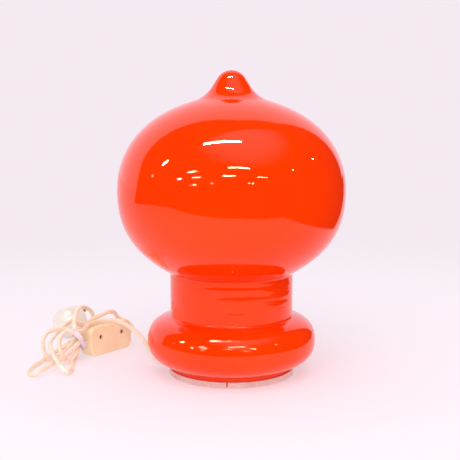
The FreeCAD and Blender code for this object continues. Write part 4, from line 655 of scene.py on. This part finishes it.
def colour(red, green, blue):
    """An sRGB colour, 0 to 255, as the shader's linear numbers."""
    def linear(part):
        part = part / 255
        return part / 12.92 if part <= 0.04045 else ((part + 0.055) / 1.055) ** 2.4
    return linear(red), linear(green), linear(blue), 1.0


def noise(material, grain, stretch=PLAIN_STRETCH, detail=4.0):
    """A cloudy pattern whose clouds are about grain metres across."""
    nodes, links = material.node_tree.nodes, material.node_tree.links
    place = nodes.new("ShaderNodeTexCoord")
    mapping = nodes.new("ShaderNodeMapping")
    mapping.inputs["Scale"].default_value = stretch
    links.new(place.outputs["Object"], mapping.inputs["Vector"])
    pattern = nodes.new("ShaderNodeTexNoise")
    pattern.inputs["Scale"].default_value = 1.0 / grain
    pattern.inputs["Detail"].default_value = detail
    links.new(mapping.outputs["Vector"], pattern.inputs["Vector"])
    return pattern.outputs["Fac"]


def joined(nodes, links, first, second, operation):
    """Two values put together by one operation; the second may be a plain number."""
    result = nodes.new("ShaderNodeMath")
    result.operation = operation
    for value, socket in zip((first, second), result.inputs):
        if isinstance(value, float):
            socket.default_value = value
        else:
            links.new(value, socket)
    return result.outputs["Value"]


def spread(nodes, links, value, start, end, top=1.0, curve="LINEAR"):
    """0 at the start and the top value at the end, and in between as the value runs."""
    span = nodes.new("ShaderNodeMapRange")
    span.interpolation_type = curve
    span.inputs["From Min"].default_value = start
    span.inputs["From Max"].default_value = end
    span.inputs["To Max"].default_value = top
    links.new(value, span.inputs["Value"])
    return span.outputs["Result"]


def tint(material, pattern, first, second):
    """The colour runs from the first to the second where the pattern rises."""
    nodes, links = material.node_tree.nodes, material.node_tree.links
    ramp = nodes.new("ShaderNodeValToRGB")
    for stop, place, shade in zip(ramp.color_ramp.elements, TINT_SPAN, (first, second)):
        stop.position = place
        stop.color = shade
    links.new(pattern, ramp.inputs["Fac"])
    links.new(ramp.outputs["Color"], nodes["Principled BSDF"].inputs["Base Color"])


def gloss(material, pattern, low, high):
    """The roughness runs between two values with the pattern."""
    nodes, links = material.node_tree.nodes, material.node_tree.links
    span = nodes.new("ShaderNodeMapRange")
    span.inputs["From Min"].default_value = GLOSS_SPAN[0]
    span.inputs["From Max"].default_value = GLOSS_SPAN[1]
    span.inputs["To Min"].default_value = low
    span.inputs["To Max"].default_value = high
    links.new(pattern, span.inputs["Value"])
    links.new(span.outputs["Result"], nodes["Principled BSDF"].inputs["Roughness"])


def relief(material, pattern, height, strength):
    """The surface swells with the pattern by up to height metres."""
    nodes, links = material.node_tree.nodes, material.node_tree.links
    bump = nodes.new("ShaderNodeBump")
    bump.inputs["Distance"].default_value = height
    bump.inputs["Strength"].default_value = strength
    links.new(pattern, bump.inputs["Height"])
    links.new(bump.outputs["Normal"], nodes["Principled BSDF"].inputs["Normal"])


# %% [markdown]
# ## Glass finish
# The colour lies in a layer of clear orange-red glass over white opal. Seen from outside that is a
# full, even colour under one hard gloss. Its reflections of white things look slightly warm, so the
# specular tint is. A blown wall is never quite even: low, wide swells make the reflections waver,
# and low rings round the neck draw them out into the streaks that the photograph shows there.

# %% Glass
NECK_MIDDLE = 97.0 * MM
NECK_HALF = 32.0 * MM
NECK_BLEND = 14.0 * MM
RING_HEIGHT = 6.0
RING_GRAIN = 0.06
RING_STRETCH = (1, 1, 8)
WARM_REFLECTION = (1.0, 0.9, 0.52, 1.0)


def with_neck_rings(material, swells):
    """The swells, and on the neck low rings too, their height as a multiple of the swells'."""
    nodes, links = material.node_tree.nodes, material.node_tree.links
    place = nodes.new("ShaderNodeTexCoord")
    parts = nodes.new("ShaderNodeSeparateXYZ")
    links.new(place.outputs["Object"], parts.inputs["Vector"])
    off_middle = joined(nodes, links, parts.outputs["Z"], NECK_MIDDLE, "SUBTRACT")
    away = joined(nodes, links, off_middle, 0.0, "ABSOLUTE")
    share = spread(nodes, links, away, NECK_HALF, NECK_HALF - NECK_BLEND, RING_HEIGHT)
    rings = noise(material, RING_GRAIN, RING_STRETCH, detail=1.5)
    return joined(nodes, links, swells, joined(nodes, links, rings, share, "MULTIPLY"), "ADD")


def make_orange_glass():
    material = new_finish("orange_glass", Roughness=0.02, IOR=1.52, Specular_Tint=WARM_REFLECTION)
    tint(material, noise(material, 0.09, detail=2.0), colour(252, 54, 0), colour(255, 59, 1))
    swells = noise(material, 0.05, detail=1.0)
    relief(material, with_neck_rings(material, swells), 0.2 * MM, 0.4)
    return material


def make_opal_glass():
    material = new_finish("opal_glass", Roughness=0.3, Coat_Weight=0.6, Coat_Roughness=0.05)
    tint(material, noise(material, 0.06, detail=2.0), colour(246, 240, 232), colour(252, 248, 243))
    relief(material, noise(material, 0.03, detail=1.0), 0.2 * MM, 0.5)
    return material


# The cut rim's dark red is painted shade: the tone of the rim low down, in the shade of the foot and the
# strip.
def make_shaded_cut_edge_glass():
    material = new_finish("shaded_cut_edge_glass", Roughness=0.4)
    tint(material, noise(material, 0.004), colour(176, 24, 8), colour(205, 45, 20))
    relief(material, noise(material, 0.0015), 0.1 * MM, 0.5)
    return material


glass_shell.data.materials[0] = make_orange_glass()
glass_shell.data.materials[1] = make_opal_glass()
glass_shell.data.materials[2] = make_shaded_cut_edge_glass()
print("glass finishes:", [slot.name for slot in glass_shell.data.materials])

# %% [markdown]
# ## Plastics, rubber and flex
# Moulded parts have a fine even skin with slight clouds in the colour. The flex and the switch are
# cream that has yellowed a little; the plug is whiter. The strip on the rim is milky and lets some
# light in; its pinkish tone is painted orange light from the glass behind it.

# %% Plastics
def make_plastic(name, first, second, roughness, grain=0.02, skin=0.0012, height=0.04, **sockets):
    """A moulded plastic with clouds in its colour and a fine uneven skin."""
    material = new_finish(name, **sockets)
    tint(material, noise(material, grain), first, second)
    gloss(material, noise(material, grain / 3), roughness - 0.05, roughness + 0.08)
    relief(material, noise(material, skin), height * MM, 0.4)
    return material


finishes = {
    "cream_cord": make_plastic("cream_cord", colour(250, 226, 202), colour(255, 236, 214), 0.42,
                               Subsurface_Weight=0.08, Subsurface_Scale=0.002),
    "cream_plastic": make_plastic("cream_plastic", colour(250, 228, 184), colour(254, 236, 196), 0.4),
    "white_plastic": make_plastic("white_plastic", colour(236, 226, 216), colour(247, 240, 231), 0.3),
    "white_rubber": make_plastic("white_rubber", colour(232, 222, 212), colour(243, 234, 226), 0.55),
    "white_tie": make_plastic("white_tie", colour(214, 198, 208), colour(234, 220, 228), 0.45,
                              grain=0.004, skin=0.002, height=0.15),
    # The strip's pink is painted orange light from the glass behind it; the strip itself is milky.
    "clear_strip": make_plastic("clear_strip", colour(232, 188, 180), colour(242, 204, 197), 0.28,
                                skin=0.006, height=0.02, Subsurface_Weight=0.4, Subsurface_Scale=0.004),
    "grey_rubber": make_plastic("grey_rubber", colour(70, 68, 66), colour(92, 90, 88), 0.7, skin=0.0008),
    "white_bakelite": make_plastic("white_bakelite", colour(232, 228, 216), colour(242, 239, 229), 0.25),
    "white_nylon": make_plastic("white_nylon", colour(228, 226, 220), colour(240, 238, 233), 0.5),
    "white_enamel": make_plastic("white_enamel", colour(236, 233, 226), colour(244, 242, 237), 0.2),
    "black_glass": make_plastic("black_glass", colour(20, 20, 22), colour(34, 33, 36), 0.15),
    "core_sleeve": make_plastic("core_sleeve", colour(104, 58, 34), colour(126, 74, 44), 0.45),
    "steatite": make_plastic("steatite", colour(222, 216, 200), colour(238, 233, 220), 0.65, grain=0.003),
}
print(len(finishes), "plastics")

# %% [markdown]
# ## Metals and bulb glass
# The zinc is dull with faint clouds, the spring steel is drawn along its length, the brass is
# turned, the switch's screws are painted dark brown for the shade in the holes they sit in, and the
# bulb's envelope is pearl glass that lets a little light through.

# %% Metals and bulb
METAL_RELIEF = 0.01 * MM


def make_metal(name, first, second, roughness, grain, stretch=PLAIN_STRETCH):
    """A metal with clouds or drawn lines in its colour, gloss and relief."""
    material = new_finish(name, Metallic=1.0)
    tint(material, noise(material, grain, stretch), first, second)
    gloss(material, noise(material, grain / 2, stretch), roughness - 0.06, roughness + 0.1)
    relief(material, noise(material, grain / 4, stretch), METAL_RELIEF, 0.5)
    return material


def make_bulb_glass():
    material = new_finish("bulb_glass", Roughness=0.45, Transmission_Weight=0.25, IOR=1.45)
    tint(material, noise(material, 0.02), colour(240, 240, 236), colour(250, 250, 248))
    relief(material, noise(material, 0.0008), 0.02 * MM, 0.3)
    return material


finishes.update({
    "zinc_steel": make_metal("zinc_steel", colour(188, 190, 192), colour(214, 215, 216), 0.34, 0.008),
    "spring_steel": make_metal("spring_steel", colour(120, 126, 138), colour(158, 162, 170), 0.3, 0.01,
                               (1, 1, 6)),
    "plain_brass": make_metal("plain_brass", colour(206, 168, 92), colour(226, 192, 120), 0.26, 0.006,
                              (1, 1, 14)),
    "bulb_metal": make_metal("bulb_metal", colour(208, 208, 206), colour(228, 228, 226), 0.3, 0.006),
    # The switch's screws: their dark brown is painted shade, that of the holes they sit in.
    "brown_screw": make_metal("brown_screw", colour(96, 58, 36), colour(124, 80, 52), 0.5, 0.002),
    "filament_wire": make_metal("filament_wire", colour(110, 110, 112), colour(140, 140, 142), 0.4, 0.001),
    "bulb_glass": make_bulb_glass(),
})


def dress(piece, material):
    """The material fills the piece's slots."""
    if not piece.material_slots:
        piece.data.materials.append(material)
    for slot in piece.material_slots:
        slot.material = material


for subpart in frame["record"]["subparts"]:
    if subpart["material_slot"] in finishes:
        dress(frame["nodes"][subpart["node"]], finishes[subpart["material_slot"]])
for flex in (lamp_flex, plug_flex):
    dress(flex, finishes["cream_cord"])
dress(tie_strip, finishes["white_tie"])
dress(frame["nodes"]["switch_screws"], finishes["brown_screw"])

# %% [markdown]
# ## The stage
# The lamp stands on a pale sheet. A share of the sheet's tone is a glow of its own, which keeps the
# shadows and the orange light near the lamp as faint as in the photograph. Far from the lamp the
# sheet turns into the plain background tone, so that no horizon shows. For reflections alone, the
# sheet ends at straight edges in front of the lamp and at its sides, and beyond them the room is dim.
# Each edge is a way out from the lamp and how far out it lies, followed back from the dome.

# %% Floor and background
BACKGROUND = colour(245, 234, 242)
FLOOR_TINT = colour(253, 241, 251)
FLOOR_HAZE = colour(252, 247, 253)
HAZE_SHARE = 0.4
EDGE_SOFTNESS = 0.02
FRONT_EDGES = [((0.0, -1.0, 0.0), 0.635), ((0.404, -0.915, 0.0), 0.611)]
LEFT_EDGES = [((-1.0, 0.0, 0.0), 1.36), ((-0.292, -0.956, 0.0), 0.0)]
CORNER_EDGES = [((-0.81, -0.586, 0.0), 1.232), ((-0.292, -0.956, 0.0), 0.0)]
RIGHT_EDGES = [((0.995, 0.1, 0.0), 0.45), ((0.883, -0.469, 0.0), 0.218)]
FADE_START = 0.42
FADE_END = 1.15
ROOM_TONE = (0.03, 0.03, 0.03, 1.0)
FLOOR_SIZE = 40.0


def past_edges(nodes, links, place, edges, combine="MAXIMUM"):
    """1 where the place lies beyond any edge (or every edge), each a way out and a reach."""
    beyond = None
    for way, reach in edges:
        along = nodes.new("ShaderNodeVectorMath")
        along.operation = "DOT_PRODUCT"
        along.inputs[1].default_value = way
        links.new(place, along.inputs[0])
        past = spread(nodes, links, along.outputs["Value"], reach - EDGE_SOFTNESS, reach + EDGE_SOFTNESS)
        beyond = past if beyond is None else joined(nodes, links, beyond, past, combine)
    return beyond


def light_of(nodes, kind, tone):
    """An even light of one tone: "Emission" from a surface, "Background" from the world."""
    light = nodes.new("ShaderNode" + kind)
    light.inputs["Color"].default_value = tone
    return light.outputs[kind]


def mixed(nodes, links, share, first, second):
    """The second shader laid over the first by a share, a number or a socket."""
    mix = nodes.new("ShaderNodeMixShader")
    if isinstance(share, float):
        mix.inputs["Fac"].default_value = share
    else:
        links.new(share, mix.inputs["Fac"])
    links.new(first, mix.inputs[1])
    links.new(second, mix.inputs[2])
    return mix.outputs["Shader"]


def make_floor_material():
    material = bpy.data.materials.new("pale_sheet")
    material.use_nodes = True
    nodes, links = material.node_tree.nodes, material.node_tree.links
    shader = nodes["Principled BSDF"]
    shader.inputs["Base Color"].default_value = FLOOR_TINT
    shader.inputs["Roughness"].default_value = 0.9
    shader.inputs["Specular IOR Level"].default_value = 0.1
    haze = light_of(nodes, "Emission", FLOOR_HAZE)
    sheet = mixed(nodes, links, HAZE_SHARE, shader.outputs["BSDF"], haze)
    place = nodes.new("ShaderNodeTexCoord")
    distance = nodes.new("ShaderNodeVectorMath")
    distance.operation = "LENGTH"
    links.new(place.outputs["Object"], distance.inputs[0])
    far = spread(nodes, links, distance.outputs["Value"], FADE_START, FADE_END, curve="SMOOTHSTEP")
    sheet = mixed(nodes, links, far, sheet, light_of(nodes, "Emission", BACKGROUND))
    beyond = past_edges(nodes, links, place.outputs["Object"], FRONT_EDGES)
    for edges in (LEFT_EDGES, CORNER_EDGES, RIGHT_EDGES):
        side = past_edges(nodes, links, place.outputs["Object"], edges, "MINIMUM")
        beyond = joined(nodes, links, beyond, side, "MAXIMUM")
    light_path = nodes.new("ShaderNodeLightPath")
    only_reflected = joined(nodes, links, beyond, light_path.outputs["Is Glossy Ray"], "MULTIPLY")
    sheet = mixed(nodes, links, only_reflected, sheet, light_of(nodes, "Emission", ROOM_TONE))
    links.new(sheet, nodes["Material Output"].inputs["Surface"])
    return material


bpy.ops.object.select_all(action="DESELECT")
bpy.ops.mesh.primitive_plane_add(size=FLOOR_SIZE, location=(0, 0, 0))
floor = bpy.context.object
floor.name = "floor"
floor.data.materials.append(make_floor_material())
print("floor", floor.dimensions[:])

# %% [markdown]
# ## World and lamps
# The world is an even pale light, and the camera sees the background tone. Reflections see more: the
# white sheet that rises behind the lamp, past its edges the dim room round the photographer, and in
# that room a soft glow of the ceiling, in front of the lamp and high up.

# %% World
SCREEN_EDGES = [((0.777, -0.629, -0.129), -0.094), ((-0.225, -0.948, 0.354), 0.0),
                ((-0.292, -0.956, 0.0), 0.0), ((0.415, -0.864, 0.284), 0.0)]
SCREEN_TONE = (1.0, 1.0, 1.15, 1.0)
CEILING_WAY = Vector((0.155, -0.268, 0.951)).normalized()
CEILING_EDGE = ((0.55, -1.0, 0.0), 0.0)
CEILING_RIM = math.cos(math.radians(40.0))
CEILING_TONE = (1.0, 0.85, 1.35, 1.0)
WORLD_TONE = (1.0, 0.985, 0.99, 1.0)
WORLD_STRENGTH = 0.83


def make_world():
    world = bpy.data.worlds.new("studio")
    bpy.context.scene.world = world
    world.use_nodes = True
    nodes, links = world.node_tree.nodes, world.node_tree.links
    plain = nodes["Background"]
    plain.inputs["Color"].default_value = WORLD_TONE
    plain.inputs["Strength"].default_value = WORLD_STRENGTH
    place = nodes.new("ShaderNodeTexCoord")
    upward = nodes.new("ShaderNodeVectorMath")
    upward.operation = "DOT_PRODUCT"
    upward.inputs[1].default_value = CEILING_WAY
    links.new(place.outputs["Generated"], upward.inputs[0])
    glow = spread(nodes, links, upward.outputs["Value"], CEILING_RIM, 1.0, curve="SMOOTHSTEP")
    in_front = past_edges(nodes, links, place.outputs["Generated"], [CEILING_EDGE])
    ceiling_share = joined(nodes, links, glow, in_front, "MULTIPLY")
    room = mixed(nodes, links, ceiling_share, light_of(nodes, "Background", ROOM_TONE),
                 light_of(nodes, "Background", CEILING_TONE))
    beyond = past_edges(nodes, links, place.outputs["Generated"], SCREEN_EDGES)
    reflected = mixed(nodes, links, beyond, light_of(nodes, "Background", SCREEN_TONE), room)
    light_path = nodes.new("ShaderNodeLightPath")
    for_glossy = mixed(nodes, links, light_path.outputs["Is Glossy Ray"], plain.outputs["Background"],
                       reflected)
    for_camera = mixed(nodes, links, light_path.outputs["Is Camera Ray"], for_glossy,
                       light_of(nodes, "Background", BACKGROUND))
    links.new(for_camera, nodes["World Output"].inputs["Surface"])


make_world()
bpy.context.scene.view_settings.view_transform = "Standard"

# %% [markdown]
# ## Lamps over the studio
# The bright marks on the glass are tube lamps in rows under the ceiling, most of them 1.3 to 2 m
# long when followed back from the dome to 3.5 m up. They are glowing plates that only reflections
# see, each given by its left end, its right end and its row. One wide soft lamp, which no
# reflection shows, gives the light from in front and above.

# %% Tube lamps
TUBE_HEIGHT = 3.5
TUBE_BREADTH = 0.2
TUBE_GLOW = 130.0
TUBES = [
    (-1.31, 0.45, -1.0), (-6.4, -4.75, -1.13), (-0.25, 1.6, -4.5), (-4.87, -3.57, -4.7),
    (-1.09, 0.51, -6.9), (3.48, 5.0, -6.85), (-5.72, -4.14, -6.75), (-9.3, -7.9, -6.3),
    (-10.1, -8.1, -11.6), (-4.5, -3.7, -11.5), (3.4, 5.0, -11.1), (6.35, 6.6, 1.3),
    (6.32, 6.59, -2.7), (-13.2, -12.7, -0.7),
]


def make_tubes():
    """All the tube lamps as one piece of the stage, with one glow."""
    plates = []
    for left, right, row in TUBES:
        bpy.ops.object.select_all(action="DESELECT")
        bpy.ops.mesh.primitive_plane_add(size=1.0, location=((left + right) / 2, row, TUBE_HEIGHT))
        plate = bpy.context.object
        plate.scale = (right - left, TUBE_BREADTH, 1.0)
        plates.append(into_mesh(plate))
    select_only(*plates)
    bpy.ops.object.join()
    tubes = bpy.context.object
    tubes.name = "ceiling_tubes"
    glow = bpy.data.materials.new("tube_glow")
    glow.use_nodes = True
    nodes = glow.node_tree.nodes
    nodes.remove(nodes["Principled BSDF"])
    light = nodes.new("ShaderNodeEmission")
    light.inputs["Strength"].default_value = TUBE_GLOW
    glow.node_tree.links.new(light.outputs["Emission"], nodes["Material Output"].inputs["Surface"])
    tubes.data.materials.append(glow)
    tubes.visible_camera = False
    tubes.visible_diffuse = False
    tubes.visible_shadow = False
    return tubes


ceiling_tubes = make_tubes()
print("tubes:", len(TUBES))

# %% Soft lamp
SOFT_LAMP_SIZE = 2.0
SOFT_LAMP_POWER = 20.0
SOFT_LAMP_PLACE = Vector((-0.1, -1.5, 1.5))
SOFT_LAMP_AIM = Vector((0.0, 0.0, 0.12))

soft_light = bpy.data.lights.new("soft_lamp", "AREA")
soft_light.shape = "SQUARE"
soft_light.size = SOFT_LAMP_SIZE
soft_light.energy = SOFT_LAMP_POWER
soft_lamp = bpy.data.objects.new("soft_lamp", soft_light)
soft_lamp.location = SOFT_LAMP_PLACE
soft_lamp.rotation_euler = (SOFT_LAMP_AIM - SOFT_LAMP_PLACE).to_track_quat("-Z", "Y").to_euler()
soft_lamp.visible_glossy = False
bpy.context.scene.collection.objects.link(soft_lamp)
print("soft lamp", SOFT_LAMP_POWER, "W")
